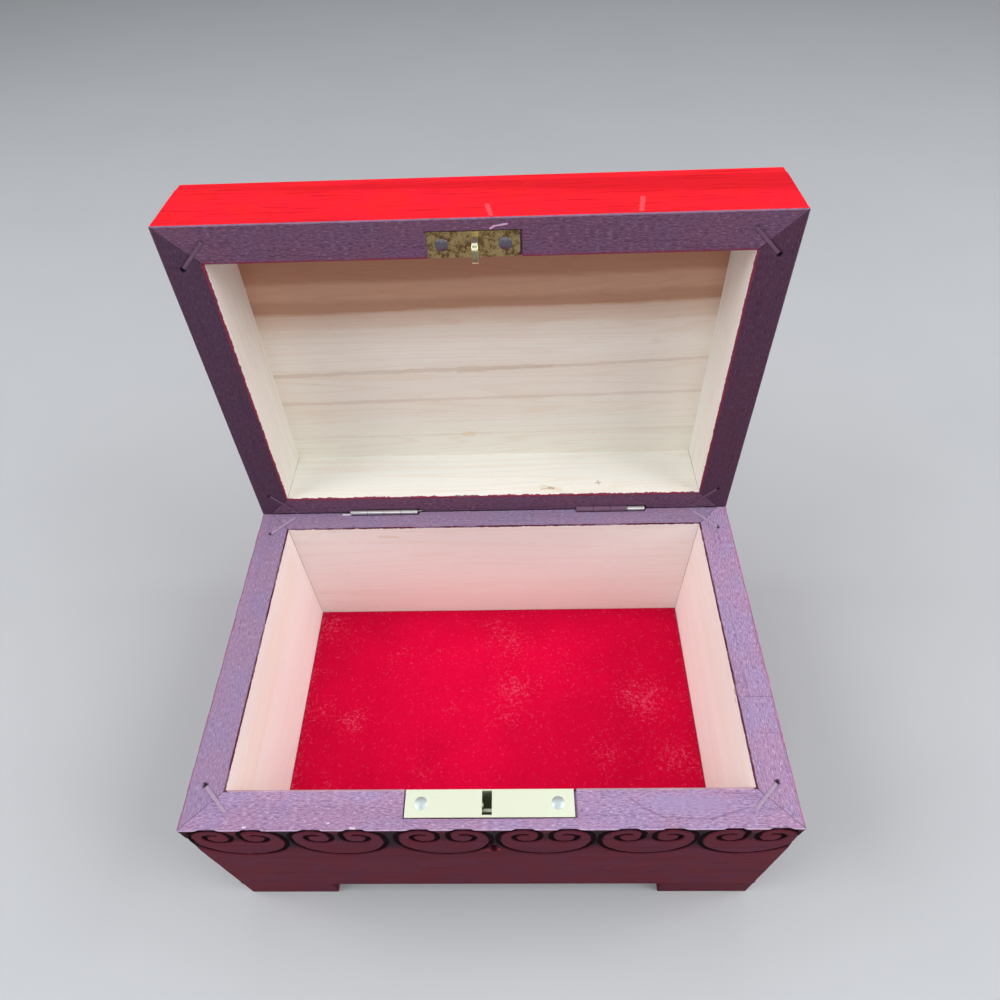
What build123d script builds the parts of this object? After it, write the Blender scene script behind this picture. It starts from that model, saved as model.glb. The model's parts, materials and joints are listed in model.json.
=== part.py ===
from build123d import *
import math
import os

# Carved jewelry box: a mitred wooden case on bracket feet, a hinged lid with a planted top,
# a cut-in brass box lock, a catch with an arched loop, and a velvet floor.
# Millimetres, +Z up, front towards -Y. The lid is modelled closed and then turned open.
# While it is built, x is 0 mid-length, y is 0 on the front face and z is 0 on the table.

# Case
box_length = 200.0
box_depth = 134.5
wall_thickness = 12.9
wall_height = 67.7
bottom_board_thickness = 3.6
foot_height = 13.4
foot_front_length = 35.5
foot_side_length = 30.0
card_thickness = 0.5
velvet_thickness = 0.6
lining_gap = 0.2

# Lid
lid_wall_height = 26.0
lid_panel_thickness = 4.6
lid_edge_radius = 2.0
open_angle = 93.3
hinge_setback = 4.1
rim_gap = 0.2

# Carved scrolls: a motif is two mirrored volutes, each walked from the middle of the motif's bottom.
# The walls' scrolls hang from the rim, and the lid's stand along its border, a little smaller.
scroll_drop = 27.6
scroll_sweep_radius = 15.7
scroll_flank = 2.2
scroll_shoulder_radius = 8.7
scroll_crest_radius = 5.0
scroll_neck = 3.4
scroll_bowl_radius = 4.3
scroll_eye_radius = 3.3
scroll_sweep_turn = 95.0
scroll_eye_turn = 105.0
groove_width = 1.5
groove_depth = 0.8
groove_corner_gap = 1.0
front_scroll_shifts = [0.1, 0.2, 1.8, 1.9, 2.0, 1.6]
side_scroll_count = 4
lid_long_scroll_count = 6
lid_short_scroll_count = 2
lid_scroll_border = 2.6
lid_scroll_scale = 0.95

# Hinges: thin butt hinges let into the two stop bevels behind the rims
hinge_length = 29.0
left_hinge_inset = 53.2
right_hinge_inset = 49.5
knuckle_count = 4
knuckle_radius = 1.4
knuckle_gap = 0.15
hinge_pin_radius = 0.6
hinge_pin_clearance = 0.05
leaf_thickness = 0.8
leaf_sink = 0.05
leaf_edge_margin = 0.4
leaf_end_gap = 0.2
knuckle_wood_gap = 0.4
hinge_nail_spacing = 17.0
hinge_nail_radius = 0.6
hinge_nail_head_radius = 1.15
hinge_nail_head_depth = 0.5
hinge_nail_length = 6.5

# Wire staples across the mitres and wire nails under the bottom board
staple_crown = 12.8
staple_width = 1.4
staple_wire = 0.6
staple_leg = 9.0
staple_sink = 0.15
staple_offset = 3.9
bottom_nail_radius = 0.8
bottom_nail_head_radius = 1.5
bottom_nail_head_depth = 0.6
bottom_nail_length = 18.0
bottom_nail_front_spacing = 50.0
bottom_nail_side_spacing = 35.0

# Lock: a plate on the front rim and a sheet case let into the wall's inner face
lock_x = -0.3
lock_plate_length = 55.0
lock_plate_width = 8.9
lock_plate_thickness = 1.2
lock_plate_shift = 0.8
plate_sink = 0.35
mortise_end_gap = 0.5
mortise_front_gap = 0.15
lock_slot_width = 3.2
lock_slot_length = 7.55
lock_sheet = 0.5
lock_case_length = 36.0
lock_case_height = 24.0
lock_pocket_gap = 0.2
lock_nail_spacing = 44.6
plate_nail_head_radius = 2.15
lock_nail_head_height = 0.45
catch_nail_head_height = 0.7
plate_nail_radius = 0.9
plate_nail_length = 9.0
keyhole_shift = 1.5
keyhole_drop = 19.5
keyhole_radius = 1.8
keyhole_slot_width = 1.8
keyhole_slot_drop = 5.0
key_pin_radius = 0.75
key_pin_reach = 2.5

# Lock bolt, which slides along +X through the catch loop, with its guide pillars and spring
bolt_travel = 3.6
bolt_thickness = 1.2
bolt_nose_length = 3.9
bolt_nose_height = 3.0
bolt_nose_clearance = 0.65
bolt_nose_standoff = 0.3
bolt_upright_width = 8.5
bolt_bar_length = 24.0
bolt_bar_height = 7.2
bolt_bar_clearance = 1.45
bolt_talon_width = 4.4
bolt_talon_depth = 2.0
pillar_radius = 1.0
pillar_shoulder_radius = 1.6
pillar_clearance = 0.1
pillar_side_gap = 0.05
left_pillar_inset = 6.5
right_pillar_inset = 21.5
pillar_drop = 3.0
spring_thickness = 0.35
spring_width = 3.0
spring_gap = 0.1
spring_rise = 4.0
spring_foot = 2.0
spring_slope_run = 10.0

# Catch in the lid's front rim
catch_plate_length = 29.0
catch_plate_width = 8.6
catch_plate_thickness = 0.9
catch_plate_shift = -0.7
catch_nail_spacing = 19.8
loop_width = 2.0
loop_strip = 0.9
loop_span = 6.7
loop_drop = 7.6
loop_corner_radius = 2.4
loop_tail = 1.2
loop_pocket_gap = 0.3

# Places that follow from the sizes above
half_length = box_length / 2
board_z = foot_height
wall_z = board_z + bottom_board_thickness
rim_z = wall_z + wall_height
card_top_z = wall_z + card_thickness
lid_rim_z = rim_z + rim_gap
lid_panel_z = lid_rim_z + lid_wall_height
lid_top_z = lid_panel_z + lid_panel_thickness
hinge_y = box_depth - hinge_setback
hinge_z = rim_z + rim_gap / 2
bevel_angle = math.radians(open_angle / 2)
bevel_width = hinge_setback / math.cos(bevel_angle)
hinge_centres = {
    "left": -half_length + left_hinge_inset,
    "right": half_length - right_hinge_inset,
}
leaf_reach = bevel_width - leaf_edge_margin
leaf_face = -rim_gap / 2 - leaf_sink
leaf_back = leaf_face - leaf_thickness
leaf_start = math.sqrt((knuckle_radius + knuckle_gap) ** 2 - leaf_face**2)

lock_plate_x = lock_x + lock_plate_shift
lock_plate_top_z = rim_z - plate_sink
lock_plate_z = lock_plate_top_z - lock_plate_thickness
lock_slot_back_y = wall_thickness - lock_sheet
lock_slot_front_y = lock_slot_back_y - lock_slot_length
lock_slot_y = (lock_slot_back_y + lock_slot_front_y) / 2
lock_case_front_y = lock_slot_front_y - lock_sheet
lock_case_z = lock_plate_z - lock_case_height
lock_case_left_x = lock_x - lock_case_length / 2
lock_case_right_x = lock_x + lock_case_length / 2
keyhole_x = lock_x + keyhole_shift
keyhole_z = rim_z - keyhole_drop

catch_plate_x = lock_x + catch_plate_shift
catch_face_z = lid_rim_z + plate_sink
catch_back_z = catch_face_z + catch_plate_thickness
loop_bottom_z = catch_face_z - loop_drop

bolt_nose_x = lock_x - loop_width / 2 - bolt_nose_standoff
bolt_left_x = bolt_nose_x - bolt_nose_length - bolt_upright_width
bolt_nose_z = loop_bottom_z + loop_strip + bolt_nose_clearance
bolt_bar_top_z = loop_bottom_z - bolt_bar_clearance
bolt_bar_z = bolt_bar_top_z - bolt_bar_height
bolt_front_y = lock_slot_y - bolt_thickness / 2
pillar_z = bolt_bar_top_z - pillar_drop
pillar_places = [bolt_left_x + left_pillar_inset, bolt_left_x + right_pillar_inset]


def block(x0, x1, y0, y1, z0, z1):
    """A cuboid between two opposite corners."""
    centre = Pos((x0 + x1) / 2, (y0 + y1) / 2, (z0 + z1) / 2)
    return centre * Box(x1 - x0, y1 - y0, z1 - z0)


def plan_prism(points, z0, z1):
    """An outline of (x, y) points drawn at z0 and raised to z1."""
    face = make_face(Polyline(*points, close=True))
    return Pos(0, 0, z0) * extrude(face, amount=z1 - z0)


def section_prism(points, x0, x1):
    """An outline of (y, z) points drawn at x0 and drawn out to x1."""
    face = Plane.YZ.offset(x0) * make_face(Polyline(*points, close=True))
    return extrude(face, amount=x1 - x0)


def front_prism(points, y0, y1):
    """An outline of (x, z) points drawn at y0 and drawn back to y1."""
    face = Plane.XZ.offset(-y0) * make_face(Polyline(*points, close=True))
    return extrude(face, amount=y0 - y1)


def rod(start, direction, length, radius):
    """A round bar from a start point along a direction."""
    return Solid.make_cylinder(radius, length, Plane(origin=start, z_dir=direction))


def bevel_point(along, out, side=-1):
    """A (y, z) point by its distance along a stop bevel and out of it.

    side is -1 for the case's bevel below the hinge line and 1 for the closed lid's above it.
    """
    y = hinge_y + along * math.cos(bevel_angle) + out * math.sin(bevel_angle)
    z = hinge_z + side * (along * math.sin(bevel_angle) - out * math.cos(bevel_angle))
    return (y, z)


def stop_bevel_cut(side):
    """The wedge planed off the rear rim so that the open lid leans on it."""
    reach = 3 * bevel_width
    corners = [(-rim_gap, -rim_gap / 2), (reach, -rim_gap / 2), (reach, reach), (-rim_gap, reach)]
    points = [bevel_point(along, out, side) for along, out in corners]
    wedge = section_prism(points, -box_length, box_length)
    edge_z = hinge_z + side * rim_gap / 2
    low, high = sorted([edge_z - side * reach, edge_z + side * 2 * reach])
    behind = block(-box_length, box_length, hinge_y, box_depth + reach, low, high)
    return wedge & behind


def leaf_recess(side):
    """Room in one rear rim for both hinges' leaves and knuckles."""
    cuts = []
    for centre in hinge_centres.values():
        x0 = centre - hinge_length / 2 - leaf_end_gap
        x1 = centre + hinge_length / 2 + leaf_end_gap
        far = leaf_reach + leaf_end_gap
        corners = [(0, leaf_back), (far, leaf_back), (far, leaf_thickness), (0, leaf_thickness)]
        cuts.append(section_prism([bevel_point(a, o, side) for a, o in corners], x0, x1))
        cuts.append(rod((x0, hinge_y, hinge_z), (1, 0, 0), x1 - x0, knuckle_radius + knuckle_wood_gap))
    return cuts


def frame_wall(name, z0, z1):
    """One of four mitred boards round the case or the lid."""
    inner_x = half_length - wall_thickness
    inner_y = box_depth - wall_thickness
    outlines = {
        "front": [(-half_length, 0), (half_length, 0), (inner_x, wall_thickness), (-inner_x, wall_thickness)],
        "rear": [(-half_length, box_depth), (half_length, box_depth), (inner_x, inner_y), (-inner_x, inner_y)],
        "left": [(-half_length, 0), (-half_length, box_depth), (-inner_x, inner_y), (-inner_x, wall_thickness)],
        "right": [(half_length, 0), (half_length, box_depth), (inner_x, inner_y), (inner_x, wall_thickness)],
    }
    return plan_prism(outlines[name], z0, z1)


def volute_edge(offset, scale):
    """One edge of a volute's groove as lines joined end to end, offset outwards from its middle line."""
    runs = [
        (scroll_sweep_radius, scroll_sweep_turn),
        (None, scroll_flank),
        (scroll_shoulder_radius, 180 - scroll_sweep_turn),
        (scroll_crest_radius, 90),
        (None, scroll_neck),
        (scroll_bowl_radius, 180),
        (scroll_eye_radius, scroll_eye_turn),
    ]
    place, heading = Vector(0, -scroll_drop * scale - offset), Vector(1, 0)
    lines = []
    for radius, amount in runs:
        if radius is None:
            line = Line(place, place + heading * (amount * scale))
        else:
            line = JernArc(place, heading, radius * scale + offset, amount)
        place, heading = line @ 1, line % 1
        lines.append(line)
    return lines


def scroll_outline(scale=1.0):
    """The outline of one motif's groove, across in x and up in y, from its middle on the edge it hangs from."""
    outer = volute_edge(groove_width / 2, scale)
    inner = volute_edge(-groove_width / 2, scale)
    ends = [Line(outer[0] @ 0, inner[0] @ 0), Line(outer[-1] @ 1, inner[-1] @ 1)]
    right = make_face(outer + inner + ends)
    return right + mirror(right, about=Plane.YZ)


def scroll_grooves(outline, places, outward, across):
    """Grooves cut from the outside at each of the places, with across along the edge that they hang from."""
    return [
        extrude(Plane(origin=place, x_dir=across, z_dir=outward) * outline, amount=groove_depth, both=True)
        for place in places
    ]


def even_places(length, count):
    """The middles of equal steps along a length that is centred on 0."""
    return [(index - (count - 1) / 2) * length / count for index in range(count)]


def wall_grooves(name):
    """The frieze of a case wall, kept off the mitres."""
    outline = scroll_outline()
    reach = 2 * wall_thickness
    if name == "front":
        middles = even_places(box_length, len(front_scroll_shifts))
        places = [(x + shift, 0, rim_z) for x, shift in zip(middles, front_scroll_shifts)]
        grooves = scroll_grooves(outline, places, (0, -1, 0), (1, 0, 0))
        keep = block(-half_length + groove_corner_gap, half_length - groove_corner_gap, -reach, reach,
                     wall_z, rim_z + reach)
    else:
        side = -1 if name == "left" else 1
        places = [(side * half_length, box_depth / 2 + y, rim_z) for y in even_places(box_depth, side_scroll_count)]
        grooves = scroll_grooves(outline, places, (side, 0, 0), (0, side, 0))
        keep = block(-half_length - reach, half_length + reach, groove_corner_gap, box_depth - groove_corner_gap,
                     wall_z, rim_z + reach)
    return [groove & keep for groove in grooves]


def lid_grooves():
    """The border of scrolls on the lid's top, all turned outwards."""
    outline = scroll_outline(lid_scroll_scale)
    middle_y = box_depth / 2
    edge_x = half_length - lid_scroll_border
    edge_y = middle_y - lid_scroll_border
    long_middles = even_places(2 * edge_x, lid_long_scroll_count)
    step = 2 * edge_x / lid_long_scroll_count
    short_middles = even_places(step * lid_short_scroll_count, lid_short_scroll_count)
    grooves = []
    for side in (-1, 1):
        long_edge = [(x, middle_y + side * edge_y, lid_top_z) for x in long_middles]
        grooves += scroll_grooves(outline, long_edge, (0, 0, 1), (side, 0, 0))
        short_edge = [(side * edge_x, middle_y + y, lid_top_z) for y in short_middles]
        grooves += scroll_grooves(outline, short_edge, (0, 0, 1), (0, -side, 0))
    return grooves


def corner_staples(rim, into):
    """Four wire staples across the mitres. into is -1 where the wood lies below the rim, else 1."""
    staples = []
    crown_face = rim + into * staple_sink
    for side_x in (-1, 1):
        for side_y in (-1, 1):
            inner_y = box_depth / 2 + side_y * (box_depth / 2 - wall_thickness)
            step = staple_offset / math.sqrt(2)
            centre = (side_x * (half_length - wall_thickness + step), inner_y + side_y * step)
            half = staple_crown / 2
            legs = [
                block(end - staple_wire / 2, end + staple_wire / 2, -staple_width / 2, staple_width / 2,
                      -staple_leg, -staple_wire / 2)
                for end in (-half + staple_wire / 2, half - staple_wire / 2)
            ]
            crown = block(-half, half, -staple_width / 2, staple_width / 2, -staple_wire, 0)
            staple = crown + legs[0] + legs[1]
            if into > 0:
                staple = staple.rotate(Axis.X, 180)
            staple = staple.rotate(Axis.Z, -45 * side_x * side_y)
            staples.append(Pos(centre[0], centre[1], crown_face) * staple)
    return staples


def round_head_nail(head_radius, head_height, radius, length):
    """A nail with a low domed head standing on z 0 and its shank below."""
    sphere = (head_radius**2 + head_height**2) / (2 * head_height)
    half_turn = math.asin(head_radius / sphere) / 2
    middle = (sphere * math.sin(half_turn), head_height - sphere * (1 - math.cos(half_turn)))
    arc = ThreePointArc((head_radius, 0), middle, (0, head_height))
    sides = Polyline((0, head_height), (0, 0), (head_radius, 0))
    head = revolve(Plane.XZ * make_face([arc, sides]), axis=Axis.Z)
    return head + rod((0, 0, 0), (0, 0, -1), length, radius)


def flat_head_nail(head_radius, head_depth, radius, length):
    """A nail with a sunk cone head flush with z 0 and its shank below."""
    head = Solid.make_cone(head_radius, radius, head_depth, Plane(origin=(0, 0, 0), z_dir=(0, 0, -1)))
    return rod((0, 0, 0), (0, 0, -1), length, radius) + head


def lock_plate_nails():
    """The two steel nails of the lock plate."""
    nail = round_head_nail(plate_nail_head_radius, lock_nail_head_height, plate_nail_radius, plate_nail_length)
    y = wall_thickness - lock_plate_width / 2
    places = [lock_plate_x - lock_nail_spacing / 2, lock_plate_x + lock_nail_spacing / 2]
    return [Pos(x, y, lock_plate_top_z) * nail for x in places]


def catch_plate_nails():
    """The two steel nails of the catch plate, heads downwards in the closed lid."""
    nail = round_head_nail(plate_nail_head_radius, catch_nail_head_height, plate_nail_radius, plate_nail_length)
    nail = nail.rotate(Axis.X, 180)
    y = wall_thickness - catch_plate_width / 2
    places = [catch_plate_x - catch_nail_spacing / 2, catch_plate_x + catch_nail_spacing / 2]
    return [Pos(x, y, catch_face_z) * nail for x in places]


def hinge_nails(side):
    """Two sunk nails through each hinge leaf of one rim."""
    nail = flat_head_nail(hinge_nail_head_radius, hinge_nail_head_depth, hinge_nail_radius, hinge_nail_length)
    y, z = bevel_point((leaf_start + leaf_reach) / 2, leaf_face, side)
    tilt = math.degrees(bevel_angle)
    nail = nail.rotate(Axis.X, -tilt if side < 0 else 180 + tilt)
    nails = []
    for centre in hinge_centres.values():
        for end in (-1, 1):
            nails.append(Pos(centre + end * hinge_nail_spacing / 2, y, z) * nail)
    return nails


def bottom_board_nails():
    """Wire nails up through the bottom board into the four walls."""
    nail = flat_head_nail(bottom_nail_head_radius, bottom_nail_head_depth, bottom_nail_radius, bottom_nail_length)
    nail = nail.rotate(Axis.X, 180)
    middle = wall_thickness / 2
    places = []
    for y in (middle, box_depth - middle):
        places += [(step * bottom_nail_front_spacing, y) for step in (-1, 0, 1)]
    for x in (-half_length + middle, half_length - middle):
        places += [(x, box_depth / 2 + half * bottom_nail_side_spacing / 2) for half in (-1, 1)]
    return [Pos(x, y, board_z) * nail for x, y in places]


def keyhole(y0, y1):
    """The keyhole as a solid between two depths, round above and slotted below."""
    hole = rod((keyhole_x, y0, keyhole_z), (0, 1, 0), y1 - y0, keyhole_radius)
    slot = block(keyhole_x - keyhole_slot_width / 2, keyhole_x + keyhole_slot_width / 2, y0, y1,
                 keyhole_z - keyhole_slot_drop, keyhole_z)
    return hole + slot


def lock_plate():
    """The flat brass plate on the front rim, with the slot for the catch loop."""
    plate = block(lock_plate_x - lock_plate_length / 2, lock_plate_x + lock_plate_length / 2,
                  wall_thickness - lock_plate_width, wall_thickness, lock_plate_z, lock_plate_top_z)
    plate -= block(lock_x - lock_slot_width / 2, lock_x + lock_slot_width / 2,
                   lock_slot_front_y, lock_slot_back_y, lock_plate_z, lock_plate_top_z)
    for nail in lock_plate_nails():
        plate -= nail
    return plate


def lock_case():
    """The folded sheet case under the plate, open at the top, with its keyhole."""
    case = block(lock_case_left_x, lock_case_right_x, lock_case_front_y, wall_thickness, lock_case_z, lock_plate_z)
    case -= block(lock_case_left_x + lock_sheet, lock_case_right_x - lock_sheet, lock_slot_front_y,
                  lock_slot_back_y, lock_case_z + lock_sheet, lock_plate_z)
    return case - keyhole(lock_case_front_y, lock_slot_front_y)


def lock_pillars():
    """The two stepped pillars that carry and guide the bolt."""
    pillars = []
    shoulder = bolt_front_y - pillar_side_gap - lock_slot_front_y
    for x in pillar_places:
        start = (x, lock_slot_front_y, pillar_z)
        stem = rod(start, (0, 1, 0), lock_slot_length, pillar_radius)
        pillars.append(stem + rod(start, (0, 1, 0), shoulder, pillar_shoulder_radius))
    return pillars


def lock_bolt():
    """The bolt at its unlocked place: bar, upright and nose, slotted for the pillars and the key."""
    upright_x = bolt_left_x + bolt_upright_width
    top = bolt_nose_z + bolt_nose_height
    outline = [
        (bolt_left_x, bolt_bar_z),
        (bolt_left_x + bolt_bar_length, bolt_bar_z),
        (bolt_left_x + bolt_bar_length, bolt_bar_top_z),
        (upright_x, bolt_bar_top_z),
        (upright_x, bolt_nose_z),
        (bolt_nose_x, bolt_nose_z),
        (bolt_nose_x, top),
        (bolt_left_x, top),
    ]
    back = bolt_front_y + bolt_thickness
    bolt = front_prism(outline, bolt_front_y, back)
    half_slot = pillar_radius + pillar_clearance
    for x in pillar_places:
        for end in (x, x - bolt_travel):
            bolt -= rod((end, bolt_front_y, pillar_z), (0, 1, 0), bolt_thickness, half_slot)
        bolt -= block(x - bolt_travel, x, bolt_front_y, back, pillar_z - half_slot, pillar_z + half_slot)
    return bolt - block(keyhole_x - bolt_talon_width / 2, keyhole_x + bolt_talon_width / 2,
                        bolt_front_y, back, bolt_bar_z, bolt_bar_z + bolt_talon_depth)


def lock_spring():
    """The leaf spring that presses on the bolt's bar from the case's right end."""
    wall_x = lock_case_right_x - lock_sheet
    low = bolt_bar_top_z + spring_gap
    high = low + spring_rise
    slope_x = wall_x - spring_slope_run
    outline = [
        (slope_x - spring_foot, low),
        (slope_x, low),
        (wall_x, high),
        (wall_x, high + spring_thickness),
        (slope_x, low + spring_thickness),
        (slope_x - spring_foot, low + spring_thickness),
    ]
    return front_prism(outline, lock_slot_y - spring_width / 2, lock_slot_y + spring_width / 2)


def lock_key_pin():
    """The drill pin that a hollow key turns on, standing out from the case's back sheet."""
    tip = lock_slot_front_y - key_pin_reach
    return rod((keyhole_x, lock_slot_back_y, keyhole_z), (0, -1, 0), lock_slot_back_y - tip, key_pin_radius)


def catch_loop(grow=0.0, bottom=None, top=None):
    """The brass strip bent to a U, legs up through the catch plate."""
    low = loop_bottom_z if bottom is None else bottom
    high = catch_back_z + loop_tail if top is None else top
    outer = Plane.YZ * Pos(lock_slot_y, (low + high) / 2) * Rectangle(loop_span + 2 * grow, high - low)
    inner_low = low + loop_strip
    inner = Plane.YZ * Pos(lock_slot_y, (inner_low + high) / 2) * Rectangle(loop_span - 2 * loop_strip, high - inner_low)
    width = loop_width + 2 * grow
    solid = extrude(outer, amount=width / 2, both=True)
    if grow == 0:
        crown = solid.edges().filter_by(Axis.X).group_by(Axis.Z)[0]
        solid = fillet(crown, loop_corner_radius)
        hollow = extrude(inner, amount=width, both=True)
        hollow = fillet(hollow.edges().filter_by(Axis.X).group_by(Axis.Z)[0], loop_corner_radius - loop_strip)
        solid -= hollow
    return Pos(lock_x, 0, 0) * solid


def catch_plate():
    """The small brass plate in the lid's front rim, slotted for the loop's legs."""
    plate = block(catch_plate_x - catch_plate_length / 2, catch_plate_x + catch_plate_length / 2,
                  wall_thickness - catch_plate_width, wall_thickness, catch_face_z, catch_back_z)
    plate -= catch_loop()
    for nail in catch_plate_nails():
        plate -= nail
    return plate


def box_front_wall():
    """The front board with its lock pocket, plate recess, keyhole and frieze."""
    wall = frame_wall("front", wall_z, rim_z)
    wall -= block(lock_case_left_x - lock_pocket_gap, lock_case_right_x + lock_pocket_gap,
                  lock_case_front_y - lock_pocket_gap, wall_thickness, lock_case_z - lock_pocket_gap, rim_z)
    wall -= block(lock_plate_x - lock_plate_length / 2 - mortise_end_gap,
                  lock_plate_x + lock_plate_length / 2 + mortise_end_gap,
                  wall_thickness - lock_plate_width - mortise_front_gap, wall_thickness, lock_plate_z, rim_z)
    wall -= keyhole(0, lock_case_front_y)
    for cut in lock_plate_nails() + wall_grooves("front"):
        wall -= cut
    return wall


def lid_front_wall():
    """The lid's front board with the catch plate's recess."""
    wall = frame_wall("front", lid_rim_z, lid_panel_z)
    wall -= block(catch_plate_x - catch_plate_length / 2 - mortise_end_gap,
                  catch_plate_x + catch_plate_length / 2 + mortise_end_gap,
                  wall_thickness - catch_plate_width - mortise_front_gap, wall_thickness, lid_rim_z, catch_back_z)
    wall -= catch_loop(loop_pocket_gap, catch_back_z, catch_back_z + loop_tail + loop_pocket_gap)
    for nail in catch_plate_nails():
        wall -= nail
    return wall


def lid_top_panel():
    """The board planted over the lid's frame, its upper edges rounded and its top carved."""
    panel = block(-half_length, half_length, 0, box_depth, lid_panel_z, lid_top_z)
    panel = fillet(panel.edges().group_by(Axis.Z)[-1], lid_edge_radius)
    for groove in lid_grooves():
        panel -= groove
    return panel


def hinge_leaf(centre, side):
    """One leaf with its share of the knuckles: the case takes the first, the lid the second, and so on."""
    x0 = centre - hinge_length / 2
    pitch = hinge_length / knuckle_count
    first = 0 if side < 0 else 1
    corners = [(leaf_start, leaf_back), (leaf_reach, leaf_back), (leaf_reach, leaf_face), (leaf_start, leaf_face)]
    leaf = section_prism([bevel_point(a, o, side) for a, o in corners], x0, x0 + hinge_length)
    neck = hinge_pin_radius + hinge_pin_clearance + leaf_thickness / 4
    corners = [(neck, leaf_back), (leaf_start, leaf_back), (leaf_start, leaf_face), (neck, leaf_face)]
    outline = [bevel_point(a, o, side) for a, o in corners]
    for index in range(first, knuckle_count, 2):
        start = x0 + index * pitch + (knuckle_gap / 2 if index else 0)
        end = x0 + (index + 1) * pitch - (knuckle_gap / 2 if index < knuckle_count - 1 else 0)
        leaf += section_prism(outline, start, end)
        leaf += rod((start, hinge_y, hinge_z), (1, 0, 0), end - start, knuckle_radius)
    leaf -= rod((x0, hinge_y, hinge_z), (1, 0, 0), hinge_length, hinge_pin_radius + hinge_pin_clearance)
    for nail in hinge_nails(side):
        leaf -= nail
    return leaf


def foot_blocks():
    """Eight mitred blocks, two to each bracket foot."""
    blocks = {}
    for side_x, side_name in ((-1, "left"), (1, "right")):
        for near, end_name in ((True, "front"), (False, "rear")):
            outer_y = 0 if near else box_depth
            inward = 1 if near else -1
            inner_x = half_length - wall_thickness
            corner = (side_x * half_length, outer_y)
            inner = (side_x * inner_x, outer_y + inward * wall_thickness)
            along = (side_x * (half_length - foot_front_length), outer_y)
            across = (side_x * half_length, outer_y + inward * foot_side_length)
            name = f"{end_name}_{side_name}_foot"
            long_block = [corner, along, (along[0], inner[1]), inner]
            side_block = [corner, across, (inner[0], across[1]), inner]
            blocks[f"{name}_{end_name}_block"] = plan_prism(long_block, 0, foot_height)
            blocks[f"{name}_side_block"] = plan_prism(side_block, 0, foot_height)
    return blocks


def box_nodes():
    """Every piece that stays with the case."""
    nails = bottom_board_nails()
    staples = corner_staples(rim_z, -1)
    leaf_nails = hinge_nails(-1)
    nodes = {"box_front_wall": box_front_wall()}
    for name in ("rear", "left", "right"):
        nodes[f"box_{name}_wall"] = frame_wall(name, wall_z, rim_z) - stop_bevel_cut(-1)
    for cut in leaf_recess(-1) + leaf_nails:
        nodes["box_rear_wall"] -= cut
    for name in ("left", "right"):
        for groove in wall_grooves(name):
            nodes[f"box_{name}_wall"] -= groove
    nodes["box_bottom_board"] = block(-half_length, half_length, 0, box_depth, board_z, wall_z)
    for node in list(nodes):
        for cut in nails + staples:
            nodes[node] -= cut
    edge = wall_thickness + lining_gap
    lining = (-half_length + edge, half_length - edge, edge, box_depth - edge)
    nodes["floor_card"] = block(*lining, wall_z, card_top_z)
    nodes["velvet_lining"] = block(*lining, card_top_z, card_top_z + velvet_thickness)
    nodes.update(foot_blocks())
    nodes["box_corner_staples"] = Compound(staples)
    nodes["bottom_board_nails"] = Compound(nails)
    nodes["lock_plate"] = lock_plate()
    nodes["lock_plate_nails"] = Compound(lock_plate_nails())
    nodes["lock_case"] = lock_case()
    nodes["lock_pillars"] = Compound(lock_pillars())
    nodes["lock_spring"] = lock_spring()
    nodes["lock_key_pin"] = lock_key_pin()
    for name, centre in hinge_centres.items():
        nodes[f"{name}_hinge_box_leaf"] = hinge_leaf(centre, -1)
        start = (centre - hinge_length / 2, hinge_y, hinge_z)
        nodes[f"{name}_hinge_pin"] = rod(start, (1, 0, 0), hinge_length, hinge_pin_radius)
    nodes["hinge_box_nails"] = Compound(leaf_nails)
    return nodes


def lid_nodes():
    """Every piece that turns with the lid, in the closed place."""
    staples = corner_staples(lid_rim_z, 1)
    leaf_nails = hinge_nails(1)
    nodes = {"lid_front_wall": lid_front_wall()}
    for name in ("rear", "left", "right"):
        nodes[f"lid_{name}_wall"] = frame_wall(name, lid_rim_z, lid_panel_z) - stop_bevel_cut(1)
    for cut in leaf_recess(1) + leaf_nails:
        nodes["lid_rear_wall"] -= cut
    for node in list(nodes):
        for cut in staples:
            nodes[node] -= cut
    nodes["lid_top_panel"] = lid_top_panel()
    nodes["lid_corner_staples"] = Compound(staples)
    nodes["catch_plate"] = catch_plate()
    nodes["catch_loop"] = catch_loop()
    nodes["catch_plate_nails"] = Compound(catch_plate_nails())
    for name, centre in hinge_centres.items():
        nodes[f"{name}_hinge_lid_leaf"] = hinge_leaf(centre, 1)
    nodes["hinge_lid_nails"] = Compound(leaf_nails)
    return nodes


def opened(piece):
    """A lid piece turned back about the hinge line until the lid leans on its stop bevel."""
    return piece.rotate(Axis((0, hinge_y, hinge_z), (1, 0, 0)), -open_angle)


fixed = box_nodes()
bolt = {"lock_bolt": lock_bolt()}
lid = {name: opened(piece) for name, piece in lid_nodes().items()}

# The origin is on the table, in the middle of the open box's footprint.
back_reach = max(piece.bounding_box().max.Y for piece in lid.values())
origin_y = back_reach / 2
to_origin = Pos(0, -origin_y, 0)

os.makedirs("parts", exist_ok=True)
for name, piece in {**fixed, **bolt, **lid}.items():
    export_step(to_origin * piece, f"parts/{name}.step")

print("origin_y", origin_y)
print("hinge line y, z", hinge_y - origin_y, hinge_z)
print("bolt_travel", bolt_travel, "open_angle", open_angle)
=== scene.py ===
"""Looks of a carved jewelry box: painted and carved boards, bare wood inside, velvet, brass and steel.

Everything is in metres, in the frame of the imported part. Boards of the lid are shaped in the closed
place and then turned open about the hinge line, as the part is.
"""
import sys
import json
import logging
import math
from dataclasses import dataclass, field, replace
from enum import Enum
from functools import partial
from itertools import chain
from typing import Callable, Iterable, Optional, Sequence, Union

import bmesh
import bpy
import numpy as np
from mathutils import Matrix, Vector

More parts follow.
